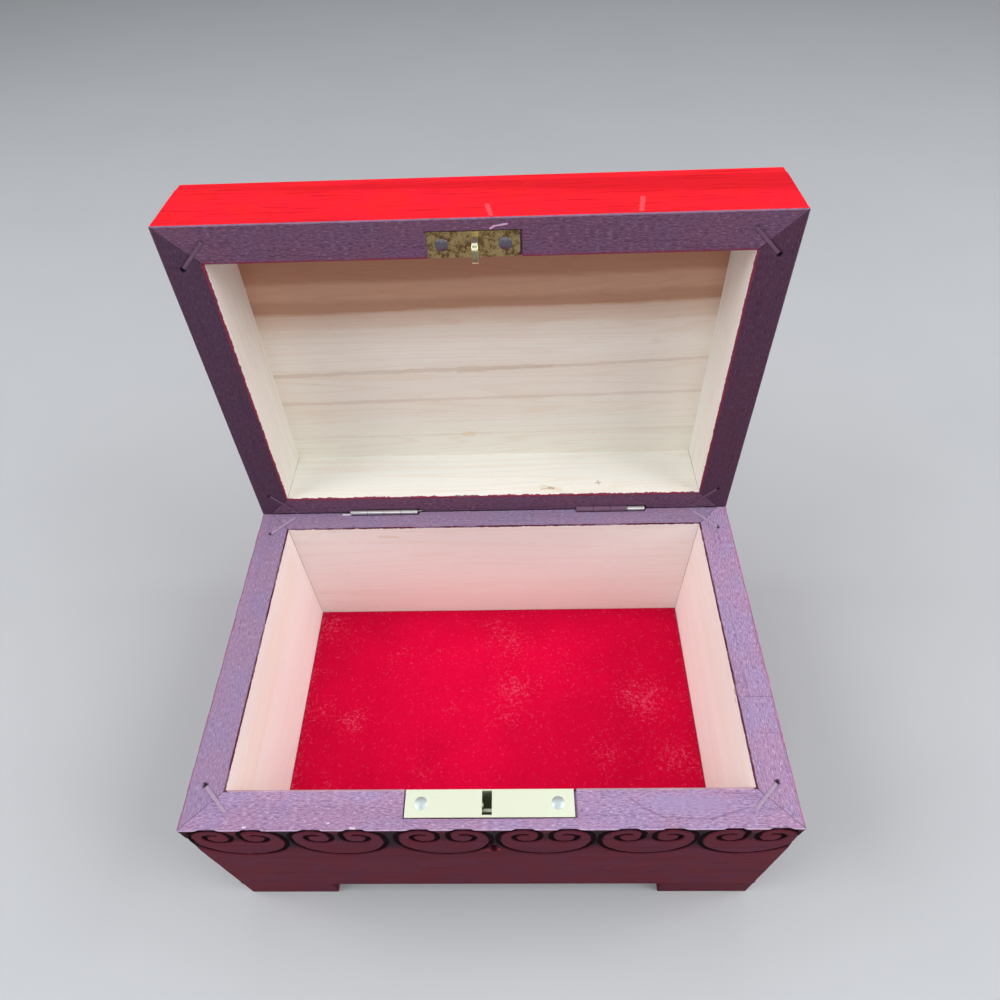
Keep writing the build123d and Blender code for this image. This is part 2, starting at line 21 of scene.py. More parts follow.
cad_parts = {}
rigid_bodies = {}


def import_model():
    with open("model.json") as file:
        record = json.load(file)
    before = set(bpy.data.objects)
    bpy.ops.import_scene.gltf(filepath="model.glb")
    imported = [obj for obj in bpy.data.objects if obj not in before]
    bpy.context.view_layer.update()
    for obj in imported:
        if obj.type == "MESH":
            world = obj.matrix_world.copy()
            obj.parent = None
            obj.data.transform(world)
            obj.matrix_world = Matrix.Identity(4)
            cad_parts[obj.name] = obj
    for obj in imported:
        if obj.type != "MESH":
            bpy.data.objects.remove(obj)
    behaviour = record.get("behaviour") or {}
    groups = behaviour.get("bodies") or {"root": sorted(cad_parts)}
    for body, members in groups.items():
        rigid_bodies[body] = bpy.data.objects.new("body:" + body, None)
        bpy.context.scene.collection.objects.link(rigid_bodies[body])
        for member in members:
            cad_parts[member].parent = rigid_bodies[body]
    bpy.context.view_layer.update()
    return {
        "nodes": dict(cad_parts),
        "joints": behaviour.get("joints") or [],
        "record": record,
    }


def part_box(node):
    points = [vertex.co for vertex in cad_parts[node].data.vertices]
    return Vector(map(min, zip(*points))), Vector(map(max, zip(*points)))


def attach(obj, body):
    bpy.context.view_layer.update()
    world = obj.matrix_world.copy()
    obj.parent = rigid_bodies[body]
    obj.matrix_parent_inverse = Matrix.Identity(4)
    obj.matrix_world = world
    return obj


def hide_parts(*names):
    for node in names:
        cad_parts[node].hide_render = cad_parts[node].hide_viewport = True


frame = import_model()

MM = 0.001
ARRIS_MIDDLE = 0.15 * MM
SHARP_ANGLE = math.radians(38)
log = logging.getLogger("jewelry_box")

Tone = tuple[float, float, float]
Place = tuple[float, float, float]


class Side(Enum):
    """The four boards of a mitred frame."""

    FRONT = "front"
    REAR = "rear"
    LEFT = "left"
    RIGHT = "right"


class Wire:
    """One output in a node tree. Arithmetic on it adds Math nodes."""

    def __init__(self, sketch: "Sketch", socket: bpy.types.NodeSocket) -> None:
        """Keeps the output and the sketch that it is in."""
        self.sketch, self.socket = sketch, socket

    def __getitem__(self, name: Union[str, int]) -> "Wire":
        """Another output of the same node, by name or number."""
        return Wire(self.sketch, self.socket.node.outputs[name])

    def __add__(self, other: "Feed") -> "Wire":
        """The sum."""
        return self.sketch.math("ADD", self, other)

    def __sub__(self, other: "Feed") -> "Wire":
        """The difference."""
        return self.sketch.math("SUBTRACT", self, other)

    def __rsub__(self, other: "Feed") -> "Wire":
        """What is left of a number."""
        return self.sketch.math("SUBTRACT", other, self)

    def __mul__(self, other: "Feed") -> "Wire":
        """The product."""
        return self.sketch.math("MULTIPLY", self, other)

    def __truediv__(self, other: "Feed") -> "Wire":
        """The ratio."""
        return self.sketch.math("DIVIDE", self, other)

    def __abs__(self) -> "Wire":
        """The value without its sign."""
        return self.sketch.math("ABSOLUTE", self)

    def clamped(self) -> "Wire":
        """The same Math node's output, kept from 0 to 1."""
        self.socket.node.use_clamp = True
        return self

    def scaled(self, by: Sequence[float]) -> "Wire":
        """This vector, scaled along each axis."""
        return self.sketch.vector("MULTIPLY", self, by)

    def span(self, low: "Feed", high: "Feed", out_low: "Feed" = 0.0, out_high: "Feed" = 1.0,
             smooth: bool = True) -> "Wire":
        """A clamped Map Range node.

        Args:
            low: the value that gives out_low.
            high: the value that gives out_high.
            out_low: the result at low.
            out_high: the result at high.
            smooth: whether the step is eased.

        Returns:
            Its output.
        """
        inputs = {"Value": self, "From Min": low, "From Max": high, "To Min": out_low, "To Max": out_high}
        return self.sketch.put("ShaderNodeMapRange", inputs, interpolation_type="SMOOTHSTEP" if smooth else "LINEAR")

    def noise(self, scale: "Feed", detail: float = 3.0, roughness: float = 0.55, distortion: float = 0.0) -> "Wire":
        """A 3-D Noise Texture, read at this vector.

        Args:
            scale: its scale.
            detail: its octaves.
            roughness: how strong the finer octaves are.
            distortion: its distortion.

        Returns:
            The factor output, centred near 0.5.
        """
        return self.sketch.put("ShaderNodeTexNoise", {"Vector": self, "Scale": scale, "Detail": detail,
                                                      "Roughness": roughness, "Distortion": distortion})


Feed = Union[Wire, float, Sequence[float]]
Coat = tuple[Feed, Feed]


class Sketch:
    """Adds nodes to one node tree and wires them."""

    def __init__(self, tree: bpy.types.NodeTree) -> None:
        """Keeps the tree that the nodes go into."""
        self.tree = tree

    def feed(self, socket: bpy.types.NodeSocket, value: Optional[Feed]) -> None:
        """Wires an input to an output, or sets its value.

        Args:
            socket: the input to fill.
            value: an output, a number, a list or a colour without its alpha, or None to leave the input.
        """
        if isinstance(value, Wire):
            self.tree.links.new(value.socket, socket)
        elif value is not None:
            socket.default_value = (*value, 1.0) if socket.type == "RGBA" else value

    def put(self, kind: str, inputs: Optional[dict] = None, **settings: object) -> Wire:
        """Adds one node.

        Args:
            kind: the node's type name.
            inputs: what fills its inputs, by name or number.
            settings: properties to set on it.

        Returns:
            Its first output.
        """
        made = self.tree.nodes.new(kind)
        for key, value in settings.items():
            setattr(made, key, value)
        for key, value in (inputs or {}).items():
            self.feed(made.inputs[key], value)
        return Wire(self, made.outputs[0] if made.outputs else None)

    def math(self, operation: str, a: Feed, b: Optional[Feed] = None) -> Wire:
        """A Math node's result."""
        return self.put("ShaderNodeMath", {0: a, 1: b}, operation=operation)

    def vector(self, operation: str, a: Feed, b: Optional[Feed] = None) -> Wire:
        """A Vector Math node's result."""
        return self.put("ShaderNodeVectorMath", {0: a, 1: b}, operation=operation)

    def layers(self, base: Feed, *coats: Coat) -> Wire:
        """Lays colours over one another.

        Args:
            base: the lowest colour.
            coats: how much of it each further colour covers, and that colour.

        Returns:
            The colour that shows.
        """
        for amount, tone in coats:
            base = self.put("ShaderNodeMix", {0: amount, 6: base, 7: tone}, data_type="RGBA")[2]
        return base

    def group(self, tree: bpy.types.NodeTree, **inputs: Feed) -> Wire:
        """Places a shader group, whose inputs are given with underscores for spaces."""
        return self.put("ShaderNodeGroup", {key.replace("_", " "): given for key, given in inputs.items()},
                        node_tree=tree)

    def attribute(self, name: str, output: str = "Fac") -> Wire:
        """A geometry attribute, as a number or as a vector."""
        return self.put("ShaderNodeAttribute", attribute_name=name)[output]

    def here(self) -> Wire:
        """The object's own coordinates."""
        return self.put("ShaderNodeTexCoord")["Object"]

    def bump(self, height: Wire, depth: float, strength: float = 1.0) -> Wire:
        """A normal from a height of about 0 to 1 that is this deep in metres."""
        return self.put("ShaderNodeBump", {"Strength": strength, "Distance": depth, "Height": height})


def start_tree(name: str, kind: str, inputs: dict[str, str]) -> tuple[Sketch, Wire]:
    """Starts a node group.

    Args:
        name: its name.
        kind: "ShaderNodeTree" or "GeometryNodeTree".
        inputs: its inputs' socket types by name, with underscores for spaces.

    Returns:
        Its sketch and its inputs.
    """
    tree = bpy.data.node_groups.new(name, kind)
    for key, socket in inputs.items():
        tree.interface.new_socket(key.replace("_", " "), in_out="INPUT", socket_type=f"NodeSocket{socket}")
    sketch = Sketch(tree)
    return sketch, sketch.put("NodeGroupInput")


class Effects:
    """The shader groups that more than one finish uses."""

    def __init__(self) -> None:
        """Builds each group once."""
        number, place = "Float", "Vector"
        self.grain = self._group("wood_grain", self._grain, Board=place, Fibre_Scale=number, Band_Scale=number)
        self.speckle = self._group("speckle", self._speckle, Vector=place, Scale=number, Amount=number)
        self.ragged = self._group("ragged_edge", self._ragged, Distance=number, Vector=place, Reach=number,
                                  Scale=number)
        self.scratches = self._group("scratches", self._scratches, Vector=place, Scale=number, Amount=number)
        self.nick = self._group("nick", self._nick, Vector=place, Start=place, End=place, Radius=number,
                                Width=number)

    @staticmethod
    def _group(name: str, draw: Callable[..., dict[str, Wire]], **inputs: str) -> bpy.types.NodeTree:
        """Makes one group.

        Args:
            name: its name.
            draw: what adds its nodes from its sketch and its inputs, and gives its outputs by name.
            inputs: its inputs' socket types by name, with underscores for spaces.

        Returns:
            The group.
        """
        sketch, given = start_tree(name, "ShaderNodeTree", inputs)
        made = draw(sketch, *(given[key.replace("_", " ")] for key in inputs))
        for key in made:
            sketch.tree.interface.new_socket(key, in_out="OUTPUT", socket_type="NodeSocketFloat")
        sketch.put("NodeGroupOutput", made)
        return sketch.tree

    @staticmethod
    def _grain(sketch: Sketch, board: Wire, fibre_scale: Wire, band_scale: Wire) -> dict[str, Wire]:
        """Fibres, growth bands and pores along a board.

        Args:
            sketch: the group's sketch.
            board: the board's own coordinates, the first along it.
            fibre_scale: how fine the fibres are.
            band_scale: how fine the bands are.

        Returns:
            The group's outputs.
        """
        lift = (board.noise(16.0, 2.0) - 0.5) * 0.003
        curved = sketch.vector("ADD", board, sketch.put("ShaderNodeCombineXYZ", {1: lift, 2: lift}))
        bands = curved.scaled((0.05, 1.0, 0.6)).noise(band_scale, 2.0, 0.45, 0.6)
        pores = curved.scaled((0.07, 1.0, 1.0)).noise(fibre_scale * 2.6, 2.0, 0.5)
        return {"Fibre": curved.scaled((0.035, 1.0, 1.0)).noise(fibre_scale, 5.0, 0.65), "Bands": bands,
                "Rings": sketch.math("SINE", bands * 95.0).span(0.3, 1.0), "Pores": pores.span(0.62, 0.74)}

    @staticmethod
    def _speckle(sketch: Sketch, place: Wire, scale: Wire, amount: Wire) -> dict[str, Wire]:
        """Small separate specks, gathered in loose clouds.

        Args:
            sketch: the group's sketch.
            place: where the pattern is read.
            scale: how fine it is.
            amount: how many specks there are.

        Returns:
            The group's output.
        """
        gathered = place.noise(scale, 2.0, 0.7) + (place.noise(scale * 0.06, 2.0) - 0.5) * 0.35
        edge = 0.8 - amount * 0.22
        return {"Mask": gathered.span(edge, edge + 0.06)}

    @staticmethod
    def _ragged(sketch: Sketch, distance: Wire, place: Wire, reach: Wire, scale: Wire) -> dict[str, Wire]:
        """A mask that is 1 below a ragged edge: paint that ends at a brushed line, or wear along an arris.

        Args:
            sketch: the group's sketch.
            distance: how far the point lies from the line.
            place: where the pattern is read.
            reach: how far the mask goes.
            scale: how fine its edge is.

        Returns:
            The group's output.
        """
        limit = reach * place.noise(scale, 4.0, 0.7).span(0.3, 0.7, 0.0, 2.0, False)
        return {"Mask": distance.span(limit, limit + reach * 0.25, 1.0, 0.0)}

    @staticmethod
    def _scratches(sketch: Sketch, place: Wire, scale: Wire, amount: Wire) -> dict[str, Wire]:
        """Thin lines in two directions across a surface's first two coordinates.

        Args:
            sketch: the group's sketch.
            place: where the pattern is read.
            scale: how fine it is.
            amount: how strong the lines are.

        Returns:
            The group's output.
        """
        masks = []
        for turn, stretch in ((0.5, 0.12), (-0.9, 0.2)):
            turned = sketch.put("ShaderNodeVectorRotate", {"Vector": place, "Angle": turn}, rotation_type="Z_AXIS")
            masks.append(turned.scaled((stretch, 1.0, 1.0)).noise(scale, 1.0, 0.5).span(0.71, 0.73))
        return {"Mask": (sketch.math("MAXIMUM", *masks) * amount).clamped()}

    @staticmethod
    def _nick(sketch: Sketch, place: Wire, start: Wire, end: Wire, radius: Wire, width: Wire) -> dict[str, Wire]:
        """One mark along a line, such as a scratch, a chip, a painted highlight or a painted shadow line, or a ring of
        grain at a radius round it.

        Args:
            sketch: the group's sketch.
            place: where it is read.
            start: the line's start.
            end: the line's end.
            radius: how far from the line the ring lies, or 0.
            width: the mark's width.

        Returns:
            The group's output.
        """
        way, gone = sketch.vector("SUBTRACT", end, start), sketch.vector("SUBTRACT", place, start)
        share = sketch.vector("DOT_PRODUCT", gone, way)["Value"] / sketch.vector("DOT_PRODUCT", way, way)["Value"]
        reached = sketch.put("ShaderNodeVectorMath", {0: way, "Scale": share.clamped()}, operation="SCALE")
        ring = abs(sketch.vector("LENGTH", sketch.vector("SUBTRACT", gone, reached))["Value"] - radius)
        limit = width * place.scaled((0.15, 1.0, 1.0)).noise(900.0, 3.0, 0.7).span(0.3, 0.7, 0.15, 0.8, False)
        return {"Mask": ring.span(limit, limit + width * 0.35, 1.0, 0.0)}


@dataclass(frozen=True)
class Finish:
    """A material with one Principled shader."""

    name: str

    def build(self, effects: Effects) -> bpy.types.Material:
        """Makes the material.

        Args:
            effects: the shared groups.

        Returns:
            The material.
        """
        made = bpy.data.materials.new(self.name)
        made.use_nodes = True
        made.node_tree.nodes.clear()
        sketch = Sketch(made.node_tree)
        shader = sketch.put("ShaderNodeBsdfPrincipled", self.look(sketch, effects))
        sketch.put("ShaderNodeOutputMaterial", {"Surface": shader})
        return made

    def look(self, sketch: Sketch, effects: Effects) -> dict[str, Feed]:
        """The shader's inputs by name, which each finish gives."""
        raise NotImplementedError


BOX_FRONT, BOX_REAR, BOX_LEFT, BOX_RIGHT, LID_FRONT, LID_REAR, LID_LEFT, LID_RIGHT, LID_PANEL = range(1, 10)


def board_shift(number: float) -> np.ndarray:
    """How far apart from the others a board's grain is read, so that no two boards are alike."""
    return np.array([3.1 * number, 0.37 * number, 0.0])


@dataclass(frozen=True)
class Mark:
    """A mark along a line on a board: a scratch, a chip, a ring of grain, a broad tint, a painted highlight or a
    painted shadow; its places are in mm along a board, down from its rim and inwards.
    """

    board: int
    start: Place
    end: Place
    width: float
    tone: Tone
    strength: float = 0.7
    radius: float = 0.0

    def coat(self, sketch: Sketch, effects: Effects, board: Wire) -> Coat:
        """How the mark covers its board.

        Args:
            sketch: the material's sketch.
            effects: the shared groups.
            board: the board's own coordinates.

        Returns:
            How much it covers, and its colour.
        """
        start, end = (np.array(place) * MM + board_shift(self.board) for place in (self.start, self.end))
        nick = sketch.group(effects.nick, Vector=board, Start=start.tolist(), End=end.tolist(),
                            Radius=self.radius * MM, Width=self.width * MM)
        return nick * self.strength, self.tone


@dataclass(frozen=True)
class BoardFinish(Finish):
    """Paint on a board's outside and rim, and bare wood on its inside.

    It reads the attributes board, unroll (past the outer arris, past the inner arris, to the mitre),
    groove and ground.
    """

    outer: Tone
    outer_cool: Tone
    outer_dark: Tone
    outer_wear_and_highlight: Tone
    rim: Tone = (0.4, 0.245, 0.405)
    rim_cool: Tone = (0.36, 0.255, 0.44)
    rim_dark: Tone = (0.15, 0.075, 0.15)
    rim_pale: Tone = (0.74, 0.6, 0.77)
    bare: Tone = (0.95, 0.95, 0.93)
    bare_band: Tone = (0.87, 0.76, 0.67)
    pore: Tone = (0.3, 0.17, 0.1)
    burnt: Tone = (0.013, 0.004, 0.007)
    stain_and_pit_shade: Tone = (0.01, 0.015, 0.021)
    joint: Tone = (0.02, 0.008, 0.014)
    edge: Tone = (0.09, 0.01, 0.025)
    figure_and_shadow: tuple[tuple[float, Tone], ...] = ()
    figure_low: float = -60.0 * MM
    figure_high: float = -20.0 * MM
    figure_slant: float = 0.014
    rim_marks: tuple[Mark, ...] = ()
    marks: tuple[Mark, ...] = ()
    paint_reach: float = 0.3 * MM
    wear_reach: float = 0.1 * MM
    streaks: float = 0.6
    scratched: float = 0.1
    roughness: float = 0.65
    shine: float = 0.04

    def look(self, sketch: Sketch, effects: Effects) -> dict[str, Feed]:
        """The shader's inputs.

        Args:
            sketch: the material's sketch.
            effects: the shared groups.

        Returns:
            The inputs by name.
        """
        board = sketch.attribute("board", "Vector")
        arris = sketch.put("ShaderNodeSeparateXYZ", {0: sketch.attribute("unroll", "Vector")})
        over, end = arris["Y"], arris["Z"]
        fine = sketch.group(effects.grain, Board=board, Fibre_Scale=1100.0, Band_Scale=110.0)
        broad = sketch.group(effects.grain, Board=board, Fibre_Scale=520.0, Band_Scale=60.0)
        fibre, bands, haze = fine["Fibre"], broad["Bands"], board.noise(75.0)
        grit = board.scaled((0.22, 1.0, 1.0)).noise(2500.0, 3.0, 0.75)
        streak = fibre.span(0.5, 0.7, 0.0, self.streaks)
        scratch = sketch.group(effects.scratches, Vector=board, Scale=420.0, Amount=self.scratched)
        wear = sketch.group(effects.ragged, Distance=sketch.math("MINIMUM", abs(arris - ARRIS_MIDDLE), end),
                            Vector=board, Reach=self.wear_reach, Scale=330.0)
        paint = sketch.layers(
            self.outer,
            (haze.span(0.36, 0.64), self.outer_cool),
            (streak, self.outer_dark),
            (bands.span(0.48, 0.66, 0.0, 0.5), self.outer_dark),
            # Scratches and wear along the arrises in a pale tone; along the lid's arrises it is partly painted
            # highlight.
            (scratch, self.outer_wear_and_highlight),
            (wear * 0.6, self.outer_wear_and_highlight))
        rim = sketch.layers(
            self.rim,
            (haze.span(0.38, 0.62), self.rim_cool),
            (bands.span(0.5, 0.66, 0.0, 0.25), self.rim_dark),
            (fibre.span(0.52, 0.7, 0.0, 0.42), self.rim_dark),
            (grit.span(0.5, 0.34, 0.0, 0.7), self.rim_dark),
            (grit.span(0.54, 0.7, 0.0, 0.75), self.rim_pale),
            (wear * 0.5, self.rim_pale),
            *(mark.coat(sketch, effects, board) for mark in self.rim_marks))
        brushed = board.noise(260.0).span(0.3, 0.7, -0.12 * MM, 0.12 * MM, False)
        burn = sketch.attribute("groove").span(0.02, 0.3) * arris.span(-0.15 * MM, -0.8 * MM)
        on_skin = (over + brushed).span(-0.8 * MM, -0.45 * MM)
        painted = sketch.layers(
            paint,
            ((arris + brushed).span(-0.3 * MM, -0.12 * MM), rim),
            # The ground between the scrolls is stained dark; the staples' pits get the same dark colour as painted
            # shade in the holes.
            (sketch.attribute("ground") * 0.85, self.stain_and_pit_shade),
            (burn, self.burnt),
            (on_skin * haze.span(0.34, 0.5, 0.35, 0.95), self.edge))
        wood = sketch.layers(
            self.bare,
            (bands.span(0.46, 0.68) * 0.18, self.bare_band),
            (broad["Rings"] * 0.2, self.bare_band),
            (fibre.span(0.5, 0.78, 0.0, 0.25), self.bare_band),
            (fine["Pores"] * 0.14, self.pore))
        # Heartwood bands, and towards the front edge painted shadow of the lid's front wall on the panel's underside.
        if self.figure_and_shadow:
            wood = self._heartwood_and_shadow(sketch, board, wood)
        covered = sketch.group(effects.ragged, Distance=over, Vector=board, Reach=self.paint_reach, Scale=420.0)
        surface = sketch.layers(
            wood,
            (covered, painted),
            *(mark.coat(sketch, effects, board) for mark in self.marks),
            (self._mitre(arris, haze), self.joint))
        rough = covered.span(0.0, 1.0, 0.75, streak * 0.12 + self.roughness) + burn * 0.2
        ridges = fibre + grit * 0.6 - fine["Pores"] * 0.5
        return {"Base Color": surface, "Roughness": rough.clamped(), "Specular IOR Level": self.shine,
                "Normal": sketch.bump(ridges, 0.1 * MM, 0.5)}

    def _heartwood_and_shadow(self, sketch: Sketch, board: Wire, wood: Wire) -> Wire:
        """Tints bare wood in bands across the board's second coordinate: heartwood, and painted shadow of the lid's
        front wall, darkest towards the front edge.

        Args:
            sketch: the material's sketch.
            board: the board's own coordinates.
            wood: the bare wood's colour.

        Returns:
            The tinted colour.
        """
        along = sketch.put("ShaderNodeSeparateXYZ", {0: board})
        wave = board.scaled((0.2, 1.0, 1.0)).noise(60.0, 5.0, 0.75)
        shift, middle = board_shift(LID_PANEL)[:2]
        across = along["Y"] + wave.span(0.3, 0.7, -1.0 * MM, 1.0 * MM, False)
        across = across + (along - shift) * self.figure_slant
        band = across.span(middle + self.figure_low, middle + self.figure_high, smooth=False)
        ramp = sketch.put("ShaderNodeValToRGB", {0: band})
        stops = ramp.socket.node.color_ramp.elements
        for number, (place, tone) in enumerate(self.figure_and_shadow):
            stop = stops[number] if number < 2 else stops.new(place)
            stop.position = place
            stop.color = (*tone, 1.0)
        return sketch.put("ShaderNodeMix", {0: 1.0, 6: wood, 7: ramp}, data_type="RGBA", blend_type="MULTIPLY")[2]

    @staticmethod
    def _mitre(arris: Wire, haze: Wire) -> Wire:
        """The dark line of a mitre joint, thick where it meets the inner corner.

        Args:
            arris: the coordinates of the attribute unroll.
            haze: a soft noise.

        Returns:
            How much of the joint shows.
        """
        over = arris["Y"]
        thick = over.span(-3.2 * MM, -1.4 * MM) * over.span(0.05 * MM, 0.4 * MM, 1.0, 0.0)
        crack = over.span(0.4 * MM, 1.0 * MM) * haze.span(0.38, 0.6, 0.3, 1.0)
        reach = (thick + crack) * (0.3 * MM) + 0.14 * MM
        strength = over.span(-0.2 * MM, 0.2 * MM, 0.85, 0.75) * arris.span(-0.6 * MM, -0.1 * MM, 0.45, 1.0)
        return arris["Z"].span(reach * 0.5, reach, 1.0, 0.0) * strength


@dataclass(frozen=True)
class MetalFinish(Finish):
    """Brass, steel or nickel with tarnish, pits and fine scratches."""

    clean: Tone
    tarnish: Tone
    tarnished: float
    roughness: float
    dark_from: Optional[float] = None
    scratched: float = 0.4
    pitted: float = 0.3

    def look(self, sketch: Sketch, effects: Effects) -> dict[str, Feed]:
        """The shader's inputs.

        Args:
            sketch: the material's sketch.
            effects: the shared groups.

        Returns:
            The inputs by name.
        """
        place = sketch.here()
        spots = place.noise(1900.0, 3.0, 0.7)
        patchy = place.noise(420.0, 4.0, 0.65) * 0.6 + spots * 0.4
        low = 0.66 - 0.3 * self.tarnished
        dirty = patchy.span(low, low + 0.16, 0.0, min(1.0, 0.25 + self.tarnished))
        if self.dark_from is not None:
            depth = sketch.put("ShaderNodeSeparateXYZ", {0: place})["Y"] + patchy * (1.5 * MM)
            dirty = sketch.math("MAXIMUM", dirty, depth.span(self.dark_from + 1.6 * MM, self.dark_from + 0.4 * MM))
        scratch = sketch.group(effects.scratches, Vector=place, Scale=700.0, Amount=self.scratched)
        pit = sketch.group(effects.speckle, Vector=place, Scale=2600.0, Amount=self.pitted)
        worn = sketch.layers(self.clean, (dirty, self.tarnish), (scratch * 0.5, self.clean), (pit * 0.6, self.tarnish))
        height = spots * 0.5 - pit * 0.6 - scratch * 0.3
        return {"Base Color": worn, "Metallic": 1.0, "Roughness": (dirty * 0.25 + self.roughness).clamped(),
                "Normal": sketch.bump(height, 0.03 * MM, 0.6)}


@dataclass(frozen=True)
class VelvetFinish(Finish):
    """Short crimson pile with crushed patches, a pale bloom of fluff and painted shade along the walls."""

    name: str = "crimson_velvet"
    pile: Tone = (0.78, 0.001, 0.05)
    crushed: Tone = (0.6, 0.0007, 0.036)
    fluff: Tone = (0.9, 0.12, 0.24)
    painted_wall_shade: Tone = (0.42, 0.002, 0.03)
    sheen: Tone = (1.0, 0.08, 0.2)

    def look(self, sketch: Sketch, effects: Effects) -> dict[str, Feed]:
        """The shader's inputs.

        Args:
            sketch: the material's sketch.
            effects: the shared groups.

        Returns:
            The inputs by name.
        """
        place = sketch.here()
        tufts = place.noise(2400.0, 3.0, 0.7)
        smudge = place.noise(800.0, 4.0, 0.8) + sketch.attribute("cloud") * 0.14
        cloth = sketch.layers(
            self.pile,
            (place.noise(26.0, 3.0, 0.5).span(0.4, 0.64, 0.1, 0.6), self.crushed),
            (tufts.span(0.5, 0.75, 0.0, 0.3), self.crushed),
            # Painted shade on the pile near the walls, from the attribute shade.
            (sketch.attribute("shade"), self.painted_wall_shade),
            (smudge.span(0.58, 0.74, 0.0, 0.5), self.fluff))
        return {"Base Color": cloth, "Roughness": 0.9, "Specular IOR Level": 0.05, "Sheen Weight": 0.12,
                "Sheen Roughness": 0.4, "Sheen Tint": self.sheen, "Normal": sketch.bump(tufts, 0.25 * MM, 0.7)}


@dataclass(frozen=True)
class PlainFinish(Finish):
    """A matt material with a mottled colour, for card, lint and painted wire."""

    light: Tone
    dark: Tone
    roughness: float = 0.85
    scale: float = 600.0

    def look(self, sketch: Sketch, effects: Effects) -> dict[str, Feed]:
        """The shader's inputs.

        Args:
            sketch: the material's sketch.
            effects: the shared groups.

        Returns:
            The inputs by name.
        """
        mottled = sketch.here().noise(self.scale, 4.0)
        return {"Base Color": sketch.layers(self.light, (mottled, self.dark)), "Roughness": self.roughness,
                "Normal": sketch.bump(mottled, 0.05 * MM)}


@dataclass(frozen=True)
class FloorFinish(Finish):
    """The studio floor's pale, slightly clouded paper."""

    name: str = "studio_floor"

    def look(self, sketch: Sketch, effects: Effects) -> dict[str, Feed]:
        """The shader's inputs by name."""
        cloud = sketch.here().noise(9.0)
        return {"Base Color": sketch.layers((0.5, 0.52, 0.55), (cloud, (0.54, 0.56, 0.585))), "Roughness": 0.8}


@dataclass(frozen=True)
class Sizes:
    """Places of the case and the lid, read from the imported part."""

    front_y: float
    back_y: float
    half_length: float
    wall: float
    rim_z: float
    wall_z: float
    lid_wall: float
    rim_gap: float
    hinge_y: float
    hinge_z: float
    open_angle: float

    @classmethod
    def read(cls) -> "Sizes":
        """Reads the sizes from the frame.

        Returns:
            The sizes, in metres and radians.
        """
        front_low, front_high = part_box("box_front_wall")
        left_low, left_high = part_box("box_left_wall")
        hinge = next(joint for joint in frame["joints"] if joint["name"] == "lid_hinge")
        hinge_y, hinge_z = hinge["pos_m"][1:3]
        made = cls(front_low.y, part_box("box_rear_wall")[1].y, front_high.x, left_high.x - left_low.x, front_high.z,
                   front_low.z, 0.0, 2 * (hinge_z - front_high.z), hinge_y, hinge_z,
                   math.radians(max(hinge["range_deg"])))
        low, high = made.closed_box("lid_front_wall")
        return replace(made, lid_wall=float(high[2] - low[2]))

    @property
    def depth(self) -> float:
        """The case's depth, front to back."""
        return self.back_y - self.front_y

    @property
    def middle_y(self) -> float:
        """The case's middle, front to back."""
        return (self.front_y + self.back_y) / 2

    @property
    def bevel(self) -> float:
        """The stop bevel's angle from the rim plane."""
        return self.open_angle / 2

    def turned(self, points: np.ndarray, angle: float) -> np.ndarray:
        """Turns points about the hinge line.

        Args:
            points: an array of (x, y, z) rows.
            angle: the right-hand turn about +X.

        Returns:
            The turned points.
        """
        out = np.array(points, float)
        dy, dz = out[:, 1] - self.hinge_y, out[:, 2] - self.hinge_z
        out[:, 1] = self.hinge_y + dy * math.cos(angle) - dz * math.sin(angle)
        out[:, 2] = self.hinge_z + dy * math.sin(angle) + dz * math.cos(angle)
        return out

    def open_up(self, piece: bpy.types.Object) -> None:
        """Turns a piece of the closed lid to the rest place."""
        set_vertices(piece, self.turned(get_vertices(piece), -self.open_angle))

    def closed_box(self, node: str) -> tuple[np.ndarray, np.ndarray]:
        """The low and high corners of a packed lid node in the closed place."""
        points = self.turned(np.array([v.co for v in frame["nodes"][node].data.vertices], float), self.open_angle)
        return points.min(0), points.max(0)


def smooth_step(value: np.ndarray, low: float, high: float) -> np.ndarray:
    """An eased step from 0 at low to 1 at high, either way round."""
    t = np.clip((value - low) / (high - low), 0.0, 1.0)
    return t * t * (3 - 2 * t)


def ripple(along: np.ndarray, phase: float, size: float) -> np.ndarray:
    """A small uneven wave, as on a hand-planed edge.

    Args:
        along: places along the edge, in metres.
        phase: what sets one edge apart from another.
        size: the wave's height.

    Returns:
        The wave's heights.
    """
    waves = sum(np.sin(along * rate + phase * turn) / rank
                for rank, (rate, turn) in enumerate(((71.0, 1.3), (187.0, 2.9), (433.0, 4.1)), start=1))
    return size * waves / 1.8


def merged_lines(*groups: Iterable[float], least: float) -> np.ndarray:
    """Sorted grid lines without near doubles, where earlier groups win.

    Args:
        groups: the lines, most important first.
        least: how near a later line may lie to one that is kept.

    Returns:
        The sorted lines.
    """
    kept = [float(line) for line in groups[0]]
    for line in chain(*groups[1:]):
        if all(abs(line - other) >= least for other in kept):
            kept.append(float(line))
    return np.array(sorted(set(kept)))


def write_values(mesh: bpy.types.Mesh, values: dict[str, np.ndarray], domain: str = "POINT") -> None:
    """Adds attributes to a mesh.

    Args:
        mesh: the mesh.
        values: its new attributes by name, as one number or one vector each.
        domain: what they belong to.
    """
    for key, array in values.items():
        kind, slot = ("FLOAT_VECTOR", "vector") if array.ndim == 2 else ("FLOAT", "value")
        mesh.attributes.new(key, kind, domain).data.foreach_set(slot, array.astype(np.float32).ravel())


def read_values(mesh: bpy.types.Mesh, name: str) -> np.ndarray:
    """The numbers of an attribute, one a vertex."""
    values = np.zeros(len(mesh.vertices), np.float32)
    mesh.attributes[name].data.foreach_get("value", values)
    return values


